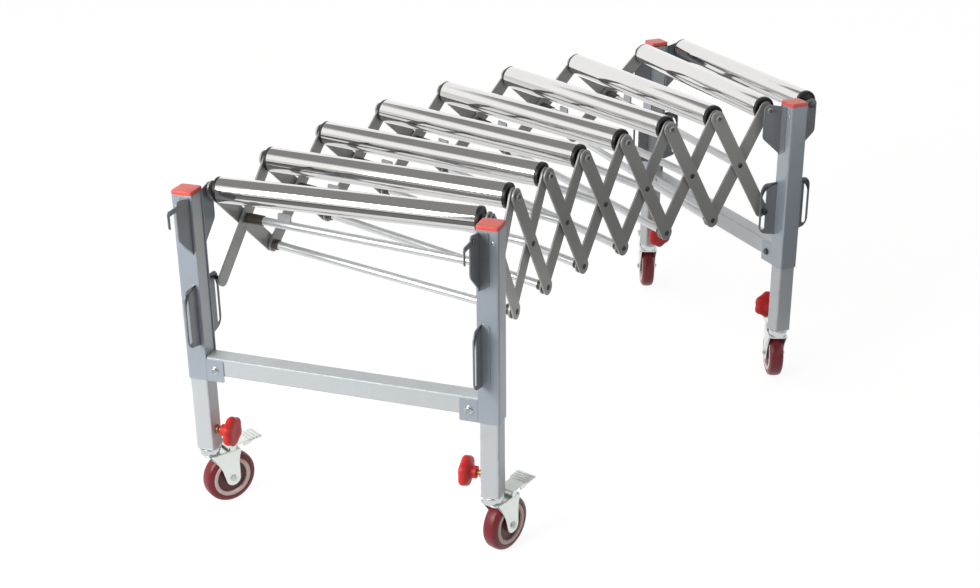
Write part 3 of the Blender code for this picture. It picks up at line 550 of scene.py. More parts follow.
def surface(name, colour, bare, roughness, metallic=0.0, wear=0.5, marks=0.12, spread=0.10, fineness=700.0,
            peel=0.10, streak=0.0, across=900.0, along=9.0, coat=0.0):
    """A finish: its colour varies slowly, wears to the bare colour at edges, and gets rougher and duller in
    marks; peel and lengthwise streaks give it its bump."""
    finish = bpy.data.materials.new(name)
    finish.use_nodes = True
    tree = finish.node_tree
    shader = tree.nodes["Principled BSDF"]
    place = node(tree, "TexCoord").outputs["Object"]
    edge = node(tree, "Attribute", attribute_name="edge").outputs["Fac"]
    own = node(tree, "Attribute", attribute_name="own").outputs["Vector"]
    wear_feeds = {"Place": place, "Edge": edge, "Amount": wear}
    rubbed = node(tree, "Group", wear_feeds, node_tree=worn_edges).outputs["Wear"]
    skin_feeds = {"Place": place, "Fineness": fineness, "Spread": spread}
    sprayed = node(tree, "Group", skin_feeds, node_tree=sprayed_skin).outputs
    mark_feeds = {"Place": place, "Amount": marks}
    marked = node(tree, "Group", mark_feeds, node_tree=handling_marks).outputs["Marks"]
    streak_feeds = {"Own": own, "Across": across, "Along": along}
    drawn = node(tree, "Group", streak_feeds, node_tree=drawn_streaks).outputs["Streak"]
    drawn_swing = math_node(tree, "SUBTRACT", drawn, 0.5)
    drawn_shade = math_node(tree, "MULTIPLY_ADD", drawn_swing, streak, sprayed["Shade"])
    dulled = math_node(tree, "MULTIPLY_ADD", marked, MARK_DULLING, drawn_shade)
    tone_feeds = {0: seen_colour(colour)[:3], "Scale": dulled}
    tone = node(tree, "VectorMath", tone_feeds, operation="SCALE").outputs[0]
    mixed = node(tree, "Mix", {0: rubbed, 6: tone, 7: seen_colour(bare)}, data_type="RGBA").outputs[2]
    tree.links.new(mixed, shader.inputs["Base Color"])
    rough = math_node(tree, "MULTIPLY_ADD", marked, MARK_ROUGHNESS, roughness)
    rough = math_node(tree, "MULTIPLY_ADD", drawn_swing, streak * STREAK_ROUGHNESS, rough)
    rough = math_node(tree, "MULTIPLY_ADD", rubbed, WEAR_ROUGHNESS, rough)
    tree.links.new(rough, shader.inputs["Roughness"])
    height = math_node(tree, "MULTIPLY_ADD", drawn, streak * STREAK_HEIGHT, sprayed["Peel"])
    bump = node(tree, "Bump", {"Strength": peel, "Distance": BUMP_DEPTH, "Height": height})
    tree.links.new(bump.outputs["Normal"], shader.inputs["Normal"])
    shader.inputs["Metallic"].default_value = metallic
    shader.inputs["Coat Weight"].default_value = coat
    shader.inputs["Coat Roughness"].default_value = COAT_ROUGHNESS
    return finish


def square(size, bend):
    """A centred square with rounded corners."""
    half = size / 2
    return rounded([(-half, -half), (half, -half), (half, half), (-half, half)], bend)


def square_tube(size, wall, bend, low, high):
    """A square tube along z with open ends."""
    return slab_ring(square(size, bend), square(size - 2 * wall, max(bend - wall, LEAST_BEND)), low, high)


def at_post(side):
    """The middle of a post in plan, in its end's axes."""
    return axes((-POST_SETBACK, side * POST_SPACING, 0.0), (1, 0, 0), (0, 1, 0), UP)


silver_paint = surface("silver_paint", (202, 207, 210), (150, 150, 152), roughness=0.36, metallic=0.08,
                       wear=0.35, spread=0.05, fineness=1100.0, peel=0.06, streak=0.03, coat=0.1)
brass = surface("stud_brass", (176, 140, 92), (214, 182, 130), roughness=0.30, metallic=1.0, marks=0.2)

leg_tube = square_tube(TUBE_SIZE, TUBE_WALL, TUBE_BEND, LEG_BOTTOM, LEG_TOP)
weld_nut = turned(WELD_NUT, 24)
for end, leg in CORNERS:
    tube = leg_tube.placed(ends[end], at_post(local_side[leg]))
    piece(leg + "_leg_tube_skin", [tube], silver_paint, end + "_frame", leg + "_leg_tube")
    piece(leg + "_weld_nut", [weld_nut.placed(joint_frame(leg + "_knob_turn"))], brass, end + "_frame")


# Posts: sheet channel bent round the leg tubes, open towards the table's middle, with a glossy blue-grey
# coating. Roller ears and slotted plates stand on both faces, hooks on the near end's outer ears, and tabs
# hold the crossbar on either face with a bolt and a nut.
POST_SIZE = 0.042
POST_WALL = 0.002
POST_BEND = 0.0042
POST_BOTTOM = 0.290
POST_TOP = 0.667
POST_FACE = POST_SETBACK - POST_SIZE / 2
POST_BACK = -POST_SETBACK - POST_SIZE / 2
POST_MOUTH = POST_SPACING - POST_SIZE / 2
SHEET_EDGE = 0.0006
AXLE_HEIGHT = 0.657
PIVOT_HALF = 0.2714
FLANGE_EDGE = 0.3015
EAR_INNER = 0.2809
EAR_OUTER = 0.2839
EAR_RADIUS = 0.013
EAR_SHOULDER = AXLE_HEIGHT - 0.062
EAR_SHOULDER_BEND = 0.007
EAR_ROOT = AXLE_HEIGHT - 0.105
EAR_ROOT_TOP = POST_TOP - 0.004
EAR_FOOT_RISE = 0.012
EAR_FOOT_CORNER = 0.004
HOOK_FAR = EAR_RADIUS + 0.030
HOOK_BAR = 0.010
HOOK_PRONG = 0.026
HOOK_PRONG_WIDTH = 0.007
HOOK_BAR_BENDS = [0.0005, 0.0005, 0.006, 0.0005]
HOOK_PRONG_BENDS = [0.0005, 0.002, 0.002, 0.002]
SLOT_INNER = 0.2838
SLOT_OUTER = 0.2868
SLOT_HALF = 0.0052
SLOT_TOP = 0.482
SLOT_BOTTOM = 0.381
SLOT_EDGE = 0.0097
SLOT_CUT = 0.004
SLOT_MARGIN = 0.008
SLOT_PLATE_BENDS = [0.0002, 0.006, 0.008, 0.008, 0.006, 0.0002]
SLOT_POINTS = 160
SLOT_FOOT_RISE = 0.008
SLOT_FOOT_CORNER = 0.010
TAB_REACH = 0.036
TAB_TOP = 0.3354
TAB_BENDS = [0.0003, 0.0003, 0.003, 0.003]
TAB_BOLT_SIDE = POST_MOUTH - 0.017
TAB_BOLT_HEIGHT = 0.314
FACE_SCREW_SIDE = POST_MOUTH + 0.032
FACE_SCREW_HEIGHT = 0.645
SINK = 0.001
PLATE_SOFT = 0.0007
BOLT_WASHER = [(-0.0002, 0.0082), (0.0009, 0.0082), (0.0012, 0.0078)]
BOLT_HEX = [(0.0010, 0.0066), (0.0044, 0.0066), (0.0052, 0.0056)]
EAR_SCREW = [(-0.0002, 0.0052), (0.0016, 0.0050), (0.0026, 0.0034), (0.0028, 0.0008)]
FACE_SCREW = [(-0.0002, 0.0034), (0.0010, 0.0032), (0.0018, 0.0020), (0.0020, 0.0005)]

upright = axes((0, 0, 0), (1, 0, 0), UP, (0, 1, 0))
facing_out = axes((0, 0, 0), (0, 1, 0), UP, (1, 0, 0))
outer_face = axes((-2 * POST_SETBACK, 0, 0), (-1, 0, 0), (0, 1, 0), UP)
both_faces = (np.eye(4), outer_face)


def flipped(side):
    """A frame that mirrors a left-hand piece for the right side where side is -1."""
    return np.diag([1.0, side, 1.0, 1.0])


def carried(shapes, *frames):
    """Every shape of a list carried by the same frames."""
    return [shape.placed(*frames) for shape in shapes]


def plate(corners, bends, low, high, soft=0.0005):
    """A plate whose outline has rounded corners."""
    return slab(rounded(corners, bends), low, high, soft)


def arc(centre, radius, start, end, steps=10):
    """Points on a circle from the start angle to the end angle in degrees."""
    angle = np.radians(np.linspace(start, end, steps + 1))
    return np.stack([centre[0] + radius * np.cos(angle), centre[1] + radius * np.sin(angle)], 1)


def resampled(outline, count):
    """A closed outline as evenly spaced points, beginning where it is seen at angle 0 from its middle."""
    outline = counter_clockwise(outline)
    offset = outline - outline.mean(0)
    away = np.abs(np.angle(np.exp(1j * np.arctan2(offset[:, 1], offset[:, 0]))))
    outline = np.roll(outline, -int(np.argmin(away)), 0)
    loop = np.concatenate([outline, outline[:1]])
    run = np.concatenate([[0.0], np.cumsum(np.linalg.norm(np.diff(loop, axis=0), axis=1))])
    spots = np.linspace(0.0, run[-1], count, endpoint=False)
    return np.stack([np.interp(spots, run, loop[:, 0]), np.interp(spots, run, loop[:, 1])], 1)


def ear_outline():
    """A roller ear from the post's face: a slanted lower edge, an upright front and a round top."""
    root = -POST_FACE - SINK
    foot = [(root, EAR_ROOT_TOP), (root, EAR_ROOT), (EAR_RADIUS, EAR_SHOULDER), (EAR_RADIUS, AXLE_HEIGHT)]
    foot = rounded(foot, [0.0, 0.0, EAR_SHOULDER_BEND, 0.0], closed=False)
    top = arc((0.0, AXLE_HEIGHT), EAR_RADIUS, 4, 90)
    return np.concatenate([foot, top, [(2 * POST_WALL - POST_FACE, EAR_ROOT_TOP)]])


def coupling_hook():
    """The hook on an ear: a level bar with a prong that hangs from its end."""
    bar_top, bar_low = AXLE_HEIGHT + HOOK_BAR / 2, AXLE_HEIGHT - HOOK_BAR / 2
    inner, tip = HOOK_FAR - HOOK_PRONG_WIDTH, bar_low - HOOK_PRONG
    bar = [(0.0, bar_low), (HOOK_FAR, bar_low), (HOOK_FAR, bar_top), (0.0, bar_top)]
    prong = [(inner, bar_top - 0.002), (inner, tip), (HOOK_FAR, tip + 0.004), (HOOK_FAR, bar_top - 0.004)]
    return [plate(bar, HOOK_BAR_BENDS, EAR_INNER + 0.0003, EAR_OUTER - 0.0003),
            plate(prong, HOOK_PRONG_BENDS, EAR_INNER + 0.0005, EAR_OUTER - 0.0005)]


def flange(inner, low, rise, high, corner):
    """A bracket's foot on the post's face: its lower edge climbs and its outer top corner is round."""
    corners = [(inner, low), (FLANGE_EDGE, low + rise), (FLANGE_EDGE, high), (inner, high)]
    foot = plate(corners, [0.0004, 0.003, corner, 0.0004], -POST_FACE - SINK, -POST_FACE + POST_WALL)
    return foot.placed(facing_out)


def slot_plate():
    """The plate in which a lattice pin slides: a round-cornered plate with a long slot."""
    root = -POST_FACE - SINK
    low, high = SLOT_BOTTOM - SLOT_MARGIN, SLOT_TOP + SLOT_MARGIN
    outer = rounded([
        (root, low - SLOT_MARGIN), (0.0, low), (SLOT_EDGE, SLOT_BOTTOM + SLOT_CUT),
        (SLOT_EDGE, SLOT_TOP - SLOT_CUT), (0.0, high), (root, high),
    ], SLOT_PLATE_BENDS)
    slot = np.concatenate([
        arc((0.0, SLOT_BOTTOM + SLOT_HALF), SLOT_HALF, 180, 360),
        arc((0.0, SLOT_TOP - SLOT_HALF), SLOT_HALF, 0, 180),
    ])
    outer, slot = resampled(outer, SLOT_POINTS), resampled(slot, SLOT_POINTS)
    return slab_ring(outer, slot, SLOT_INNER, SLOT_OUTER, 0.0006)


def channel():
    """The post's channel: a U of sheet with bent corners, its mouth towards the table's middle."""
    half, inside = POST_SIZE / 2, POST_SIZE / 2 - POST_WALL
    corners = [(-half, half), (half, half), (half, -half), (inside, -half), (inside, inside),
               (-inside, inside), (-inside, -half), (-half, -half)]
    tight = POST_BEND - POST_WALL
    bends = [POST_BEND, POST_BEND, SHEET_EDGE, SHEET_EDGE, tight, tight, SHEET_EDGE, SHEET_EDGE]
    return plate(corners, bends, POST_BOTTOM, POST_TOP)


def bolt_head():
    """A washer and a hexagon head along z."""
    return [turned(BOLT_WASHER, 28), turned(BOLT_HEX, 6)]


# The coating's worn edges go to a pale grey: partly bare metal rubbed through at rims, partly a painted
# highlight along the posts' bent corners.
grey_coating = surface("grey_coating", (174, 183, 193), (212, 216, 222), roughness=0.32, metallic=0.25,
                       wear=0.25, marks=0.10, spread=0.05, fineness=500.0, peel=0.03, streak=0.02)
bracket_grey = surface("bracket_grey", (140, 145, 150), (84, 86, 90), roughness=0.34, metallic=0.15,
                       marks=0.14, fineness=500.0, peel=0.04)
dark_zinc = surface("dark_bolt", (96, 97, 98), (150, 150, 150), roughness=0.38, metallic=0.9,
                    wear=0.6, marks=0.2)
bright_zinc = surface("bright_bolt", (204, 208, 210), (235, 236, 236), roughness=0.22, metallic=1.0,
                      marks=0.15)

post_brackets = [slab(ear_outline(), EAR_INNER, EAR_OUTER, PLATE_SOFT).placed(upright),
                 flange(EAR_INNER, EAR_ROOT, EAR_FOOT_RISE, EAR_ROOT_TOP, EAR_FOOT_CORNER),
                 slot_plate().placed(upright)]
hook = carried(coupling_hook(), upright)
slot_foot = flange(SLOT_INNER, SLOT_BOTTOM - 2 * SLOT_MARGIN, SLOT_FOOT_RISE, SLOT_TOP + SLOT_MARGIN,
                   SLOT_FOOT_CORNER)
tab_corners = [(POST_MOUTH + SINK, POST_BOTTOM), (POST_MOUTH + SINK, TAB_TOP),
               (POST_MOUTH - TAB_REACH, TAB_TOP), (POST_MOUTH - TAB_REACH, POST_BOTTOM)]
post_shapes = [channel().placed(at_post(1))]
for low in (POST_BACK, -POST_FACE - POST_WALL):
    post_shapes.append(plate(tab_corners, TAB_BENDS, low, low + POST_WALL, 0.0004).placed(facing_out))
tab_bolt_seat = pointing((POST_BACK, TAB_BOLT_SIDE, TAB_BOLT_HEIGHT), (-1, 0, 0))
tab_nut_seat = pointing((-POST_FACE, TAB_BOLT_SIDE, TAB_BOLT_HEIGHT), (1, 0, 0))
ear_screw_seat = pointing((-2 * POST_SETBACK, EAR_OUTER, AXLE_HEIGHT), (0, 1, 0))
face_screw_seats = [pointing((-POST_FACE, FACE_SCREW_SIDE, FACE_SCREW_HEIGHT), (1, 0, 0)),
                    pointing((POST_BACK, FACE_SCREW_SIDE, FACE_SCREW_HEIGHT), (-1, 0, 0))]
for end, post in CORNERS:
    carrier = (ends[end], flipped(local_side[post]))
    shell = carried(post_shapes, *carrier)
    shell += [slot_foot.placed(*carrier, face) for face in both_faces]
    brackets = [shape.placed(*carrier, face) for shape in post_brackets for face in both_faces]
    bolts = carried(bolt_head(), *carrier, tab_bolt_seat)
    bolts += [turned(FACE_SCREW, 20).placed(*carrier, seat) for seat in face_screw_seats]
    nuts = carried(bolt_head(), *carrier, tab_nut_seat)
    if end == "near":
        brackets += carried(hook, *carrier, outer_face)
        nuts.append(turned(EAR_SCREW, 24).placed(*carrier, ear_screw_seat))
    piece(post + "_post_shell", shell, grey_coating, end + "_frame", post + "_post")
    piece(post + "_post_brackets", brackets, bracket_grey, end + "_frame")
    piece(post + "_post_bolts", bolts, bright_zinc, end + "_frame")
    piece(post + "_post_nuts", nuts, dark_zinc, end + "_frame")


# Crossbars: the same square tube as the legs, sprayed light silver, between the two posts of an end.
# The posts' tabs hold them.
CROSSBAR_BOTTOM = 0.302
CROSSBAR_HALF = 0.2785
CROSSBAR_WALL = 0.0018

crossbar_middle = axes((-POST_SETBACK, 0, CROSSBAR_BOTTOM + TUBE_SIZE / 2), (1, 0, 0), UP, (0, 1, 0))
crossbar = square_tube(TUBE_SIZE, CROSSBAR_WALL, TUBE_BEND, -CROSSBAR_HALF, CROSSBAR_HALF)
for end in ends:
    bar = crossbar.placed(ends[end], crossbar_middle)
    piece(end + "_crossbar_skin", [bar], silver_paint, end + "_frame", end + "_crossbar")


# Post caps: moulded red plastic plugs with soft edges and a low crown.
# They are pressed into the tops of the leg tubes.
CAP_SIZE = 0.0432
CAP_BEND = 0.0055
CAP_LOW = 0.6673
CAP_HIGH = 0.6753
CAP_CROWN = [(0.0, CAP_LOW), (0.0, CAP_LOW + 0.0060), (0.0003, CAP_LOW + 0.0069), (0.0010, CAP_LOW + 0.0075),
             (0.0022, CAP_LOW + 0.0077), (0.0060, CAP_LOW + 0.0079), (0.0120, CAP_HIGH)]
CAP_WEAR = [0.3, 0.0, 0.8, 1.0, 0.5, 0.0, 0.0]


def crowned_cap():
    """A cap: its square outline goes up in steps, each a little further in, to a low crown."""
    outline = guarded(counter_clockwise(square(CAP_SIZE, CAP_BEND)))
    steps = np.array(CAP_CROWN)
    shrink = 1 - 2 * steps[:, 0] / CAP_SIZE
    loops = outline[None] * shrink[:, None, None]
    return skin(at_heights(loops, steps[:, 1]), np.repeat(np.array(CAP_WEAR)[:, None], len(outline), 1))


cap_red = surface("cap_red", (238, 94, 84), (246, 160, 150), roughness=0.40, marks=0.10, fineness=1600.0,
                  coat=0.1)
post_cap = crowned_cap()
for end, post in CORNERS:
    cap = post_cap.placed(ends[end], at_post(local_side[post]))
    piece(post + "_cap_moulding", [cap], cap_red, end + "_frame", post + "_cap")


# End axles: plain steel rods with dull zinc plating, fixed through the post ears.
# A hexagon nut closes each end.
AXLE_RADIUS = 0.005
AXLE_GAP = 0.0006
STUD_END = 0.001
STUD_RADIUS = AXLE_RADIUS - 0.0008
STUD_FACE = 0.0036
NUT_RADIUS = 0.008
NUT_HEIGHT = 0.0035
NUT_CHAMFER = 0.0006


def axle_with_nuts(head_start):
    """A rod along z from nut to nut, with chamfered hexagon nuts of one height outside head_start."""
    end = head_start + NUT_HEIGHT
    tip = end + STUD_END
    stud = [(-tip, STUD_FACE), (-tip, STUD_RADIUS), (tip, STUD_RADIUS), (tip, STUD_FACE)]
    rod = turned(rounded(stud, 0.0003, closed=False), 20)
    core = turned([(-head_start, AXLE_RADIUS), (head_start, AXLE_RADIUS)], 20)
    nuts = []
    for way in (1, -1):
        nut = [(way * head_start, NUT_RADIUS * 0.9), (way * (head_start + NUT_CHAMFER), NUT_RADIUS),
               (way * (end - NUT_CHAMFER), NUT_RADIUS), (way * end, NUT_RADIUS * 0.88)]
        nuts.append(turned(nut, 6))
    return [rod, core], nuts


end_axles = {
    "near": axes((0, 0, AXLE_HEIGHT), (1, 0, 0), UP, (0, -1, 0)),
    "far": axes((-2 * POST_SETBACK, 0, AXLE_HEIGHT), (1, 0, 0), UP, (0, -1, 0)),
}
for end, middle in end_axles.items():
    rod, nuts = axle_with_nuts(EAR_OUTER + AXLE_GAP)
    rod = carried(rod + nuts, ends[end], middle)
    piece(end + "_axle_rod", rod, dark_zinc, end + "_frame", end + "_axle")


# Lattice arms: flat steel bars with round ends, sprayed mid grey, in two layers on each side. Outer bars are
# riveted in pairs to two plated tie rods in spacer tubes, and inner bars carry a roller axle between them.
# The first and the last pair end in pins that run in the posts' slots.
SECTIONS = 7
LINK_LENGTH = 0.267
LINK_WIDTH = 0.032
LINK_THICKNESS = 0.004
LAYER_OFFSET = 0.0039
OUTER_FACE = 0.0059
ROD_RADIUS = 0.0085
ROD_BENDS = [0.0, 0.0002, 0.0008, 0.0008, 0.0002, 0.0]
NECK_RADIUS = 0.004
SHOULDER_GAP = 0.0012
RIVET = [(-0.0003, 0.0060), (0.0006, 0.0060), (0.0013, 0.0052), (0.0017, 0.0034), (0.0018, 0.0008)]
SLEEVE_RADIUS = 0.0105
SLEEVE_LENGTH = 0.036
SLEEVE_GAP = 0.0006
SLEEVE_GRIP = ROD_RADIUS - 0.0004
SLEEVE_BENDS = [0.0, 0.0009, 0.0009, 0.0]
BUSH_RADIUS = 0.0108
BUSH_LENGTH = 0.009
STOP_LENGTH = 0.028
STOP_HEIGHT = 0.014
STOP_THICKNESS = 0.005
STOP_INSET = 0.090
STOP_BENDS = [0.0002, 0.0002, 0.002, 0.002]
PIN_ROOT = -0.0015
PIN_HEAD_GAP = 0.0035
PIN_HEAD_HEIGHT = 0.0025
PIN_HEAD_RADIUS = 0.0075
PIN_BORE = 0.001
PIN_WASHER = 0.0008
PIN_NUT_RADIUS = 0.0066
PIN_NUT_TOP = 0.0058
FLAT_SOFT = 0.0006


def way(start, end):
    """The unit direction between two points."""
    return unit(end - start)


def top_pivot(station, side):
    """The pivot of a side at a roller axle."""
    return station_place[station] + station_across[station] * side * PIVOT_HALF


def low_pivot(station, side):
    """The pivot straight below an axle, where the bars' length and the pitch put it."""
    pitch = np.linalg.norm(top_pivot(1, side) - top_pivot(0, side))
    return top_pivot(station, side) - UP * math.sqrt(LINK_LENGTH ** 2 - pitch ** 2)


def crossing(section, side):
    """The pivot where the two bars of a section cross, half way down."""
    return (top_pivot(section, side) + low_pivot(section + 1, side)) / 2


def outward(section, side):
    """The direction square to a section's bars, away from the rollers."""
    return side * np.cross(UP, way(top_pivot(section, side), top_pivot(section + 1, side)))


def pierce(point, axis, normal, offset):
    """Where an axis through a point meets the plane at an offset along the plane's normal."""
    return point + axis * (offset / np.dot(axis, normal))


def link_bar(start, end, normal):
    """A flat bar with round ends between two pivots, lying square to a normal."""
    length = np.linalg.norm(end - start)
    half = LINK_WIDTH / 2
    outline = np.concatenate([arc((0.0, 0.0), half, 90, 270, 16), arc((length, 0.0), half, -90, 90, 16)])
    bar = slab(outline, -LINK_THICKNESS / 2, LINK_THICKNESS / 2, FLAT_SOFT)
    return bar.placed(axes(start, way(start, end), np.cross(normal, way(start, end)), normal))


def tie_rod(left, right, slope):
    """A rod between two pivots, with thin necks through the inner bars into the outer bars."""
    half = np.linalg.norm(left - right) / 2
    shoulder = half - (OUTER_FACE + SHOULDER_GAP) / slope
    end = half + LAYER_OFFSET / slope
    profile = rounded([
        (-end, NECK_RADIUS), (-shoulder, NECK_RADIUS), (-shoulder, ROD_RADIUS), (shoulder, ROD_RADIUS),
        (shoulder, NECK_RADIUS), (end, NECK_RADIUS),
    ], ROD_BENDS, closed=False)
    return turned(profile, 24).placed(pointing((left + right) / 2, left - right)), shoulder


def sleeve(left, right, shoulder, radius, length, way_in=1):
    """A round sleeve on a rod, from just inside its shoulder towards the table's middle."""
    outer_end = shoulder - SLEEVE_GAP
    inner_end = outer_end - length
    profile = [(inner_end, SLEEVE_GRIP), (inner_end, radius), (outer_end, radius), (outer_end, SLEEVE_GRIP)]
    round_sleeve = turned(rounded(profile, SLEEVE_BENDS, closed=False), 24)
    return round_sleeve.placed(pointing((left + right) / 2, (left - right) * way_in))


def stop_tab(left, right):
    """A small upright plate that stands on a middle rod near its left end."""
    axis = way(right, left)
    chord = unit(np.cross(axis, UP))
    half, top = STOP_LENGTH / 2, ROD_RADIUS + STOP_HEIGHT
    corners = [(-half, 0.0), (half, 0.0), (half, top), (-half, top)]
    stop = plate(corners, STOP_BENDS, -STOP_THICKNESS / 2, STOP_THICKNESS / 2, FLAT_SOFT)
    return stop.placed(axes(left - axis * STOP_INSET, axis, np.cross(chord, axis), chord))


def slot_pin(root, axis, start):
    """A pin from an end bar through a slotted plate, with a washer and a hexagon nut beyond it."""
    head = SLOT_OUTER + PIN_HEAD_GAP - start
    top, face = head + PIN_HEAD_HEIGHT, head + PIN_WASHER
    shank = turned([(PIN_ROOT, NECK_RADIUS), (head + 0.0004, NECK_RADIUS)], 20)
    disc = [(head, PIN_BORE), (head, PIN_HEAD_RADIUS), (face, PIN_HEAD_RADIUS), (face, PIN_BORE)]
    washer = turned(rounded(disc, 0.0002, closed=False), 24)
    nut = turned([(head + 0.0006, PIN_NUT_RADIUS), (top - 0.0005, PIN_NUT_RADIUS), (top, PIN_NUT_TOP)], 6)
    return carried([shank, washer, nut], pointing(root, axis))


link_grey = surface("link_grey", (170, 170, 168), (184, 184, 184), roughness=0.38, metallic=0.25, wear=0.4,
                    marks=0.14, fineness=650.0, peel=0.06, streak=0.03, across=9.0, along=700.0, coat=0.15)
rod_plate = surface("rod_plate", (222, 224, 225), (238, 238, 238), roughness=0.34, metallic=0.7, wear=0.3,
                    spread=0.06, peel=0.05, streak=0.10)
rivet_steel = surface("rivet_steel", (62, 62, 62), (110, 110, 110), roughness=0.36, metallic=0.6, wear=0.4,
                      marks=0.2)
sleeve_brown = surface("sleeve_brown", (74, 66, 56), (110, 100, 88), roughness=0.42, metallic=0.1, wear=0.4,
                       marks=0.2, spread=0.2, fineness=1200.0)

for section in range(SECTIONS):
    last = section == SECTIONS - 1
    arm = "arm_b%d" % (section + 1)
    left, right = crossing(section, 1), crossing(section, -1)
    low_left, low_right = low_pivot(section + 1, 1), low_pivot(section + 1, -1)
    middle_axis = way(right, left)
    low_axis = way(low_right, low_left)
    foot_axis = station_across[section + 1] if last else low_axis
    bars, rivets, pins = [], [], []
    for side in (1, -1):
        normal = outward(section, side)
        top = pierce(top_pivot(section, side), station_across[section] * side, normal, LAYER_OFFSET)
        foot = pierce(low_pivot(section + 1, side), foot_axis * side, normal, LAYER_OFFSET)
        bars.append(link_bar(top, foot, normal))
        face = pierce(crossing(section, side), middle_axis * side, normal, OUTER_FACE)
        rivets.append(turned(RIVET, 24).placed(pointing(face, normal)))
        if last:
            pins += slot_pin(foot, foot_axis * side, PIVOT_HALF + LAYER_OFFSET)
        else:
            face = pierce(low_pivot(section + 1, side), low_axis * side, normal, OUTER_FACE)
            rivets.append(turned(RIVET, 24).placed(pointing(face, normal)))
    piece(arm + "_bars", bars, link_grey, arm, arm)
    piece(arm + "_rivets", rivets + pins, rivet_steel, arm)
    rod, shoulder = tie_rod(left, right, np.dot(middle_axis, outward(section, 1)))
    rods = [rod]
    sleeves = [sleeve(left, right, shoulder, SLEEVE_RADIUS, SLEEVE_LENGTH)]
    if not last:
        rod, shoulder = tie_rod(low_left, low_right, np.dot(low_axis, outward(section, 1)))
        rods.append(rod)
        for way_in in (1, -1):
            sleeves.append(sleeve(low_left, low_right, shoulder, BUSH_RADIUS, BUSH_LENGTH, way_in))
    piece(arm + "_rods", rods, rod_plate, arm)
    piece(arm + "_sleeves", sleeves, sleeve_brown, arm)
    piece(arm + "_tab", [stop_tab(left, right)], silver_paint, arm)

for section in range(SECTIONS):
    first, last = section == 0, section == SECTIONS - 1
    arm = "arm_a%d" % (section + 1)
    low_axis = station_across[0] if first else way(low_pivot(section, -1), low_pivot(section, 1))
    bars, pins = [], []
    for side in (1, -1):
        normal = outward(section, side)
        foot = pierce(low_pivot(section, side), low_axis * side, normal, -LAYER_OFFSET)
        top = pierce(top_pivot(section + 1, side), station_across[section + 1] * side, normal, -LAYER_OFFSET)
        bars.append(link_bar(foot, top, normal))
        if first:
            pins += slot_pin(foot, low_axis * side, PIVOT_HALF - LAYER_OFFSET)
    piece(arm + "_bars", bars, link_grey, arm, arm)
    if pins:
        piece(arm + "_pins", pins, rivet_steel, arm)
    nut_start = EAR_OUTER + AXLE_GAP if last else PIVOT_HALF + OUTER_FACE + 2 * AXLE_GAP
    axle_frame = pointing(station_place[section + 1], station_across[section + 1])
    rod, nuts = axle_with_nuts(nut_start)
    piece(arm + "_axle", carried(rod, axle_frame), dark_zinc, arm)
    piece(arm + "_nuts", carried(nuts, axle_frame), link_grey, arm)


# Rollers: bright-plated steel tubes with a black moulded bearing cap pressed into each end.
# They turn freely on their axles.
ROLLERS = 9
ROLLER_RADIUS = 0.025
ROLLER_LIP = ROLLER_RADIUS - 0.0018
ROLLER_BORE = 0.0054
TUBE_HALF = 0.2565
CAP_HALF = 0.264
ROLLER_TUBE = [(-TUBE_HALF, ROLLER_LIP), (-TUBE_HALF, ROLLER_RADIUS), (TUBE_HALF, ROLLER_RADIUS),
               (TUBE_HALF, ROLLER_LIP)]
ROLLER_TUBE_BENDS = [0.0, 0.0007, 0.0007, 0.0]
ROLLER_CAP = [(TUBE_HALF - 0.004, ROLLER_BORE), (TUBE_HALF - 0.004, 0.0225), (TUBE_HALF + 0.0001, 0.0227),
              (TUBE_HALF + 0.0001, 0.0249), (CAP_HALF - 0.0006, 0.0243), (CAP_HALF - 0.0006, 0.0206),
              (CAP_HALF - 0.0022, 0.0194), (CAP_HALF - 0.0022, 0.0112), (CAP_HALF, 0.0104),
              (CAP_HALF, ROLLER_BORE)]
ROLLER_CAP_BENDS = [0.0003, 0.0003, 0.0003, 0.0008, 0.0012, 0.0005, 0.0005, 0.0005, 0.0005, 0.0003]

roller_steel = surface("roller_steel", (208, 207, 206), (226, 226, 226), roughness=0.07, metallic=1.0,
                       wear=0.3, marks=0.08, spread=0.04, peel=0.03, streak=0.06, across=1200.0, along=5.0)
black_plastic = surface("black_plastic", (28, 28, 28), (70, 70, 70), roughness=0.42, wear=0.3, marks=0.2,
                        fineness=1500.0, peel=0.12)
roller_tube = turned(rounded(ROLLER_TUBE, ROLLER_TUBE_BENDS, closed=False), 64)
roller_cap = turned(rounded(ROLLER_CAP, ROLLER_CAP_BENDS, 3), 48, closed=True)
other_end = np.diag([1.0, 1.0, -1.0, 1.0])
for number in range(1, ROLLERS + 1):
    roller = "roller_%d" % number
    middle = joint_frame(roller + "_spin")
    piece(roller + "_tube", [roller_tube.placed(middle)], roller_steel, roller, roller)
    caps = [roller_cap.placed(middle), roller_cap.placed(middle, other_end)]
    piece(roller + "_end_caps", caps, black_plastic, roller)


# Sliding legs: a smaller square tube inside each leg tube, welded to a square foot plate.
# The plate closes the tube's end and carries the caster's kingpin.
FOOT_TOP = 0.1347
FOOT_THICKNESS = 0.0022
FOOT_LOW = FOOT_TOP - FOOT_THICKNESS
FOOT_BEND = 0.002
SLIDE_SIZE = 0.0328
SLIDE_WALL = 0.0024
SLIDE_BEND = 0.0030
SLIDE_LENGTH = 0.36
WELD_DEPTH = 0.0005
KINGPIN = [(FOOT_LOW - 0.0148, 0.0056), (FOOT_LOW - 0.0143, 0.0060), (FOOT_LOW + WELD_DEPTH, 0.0060)]

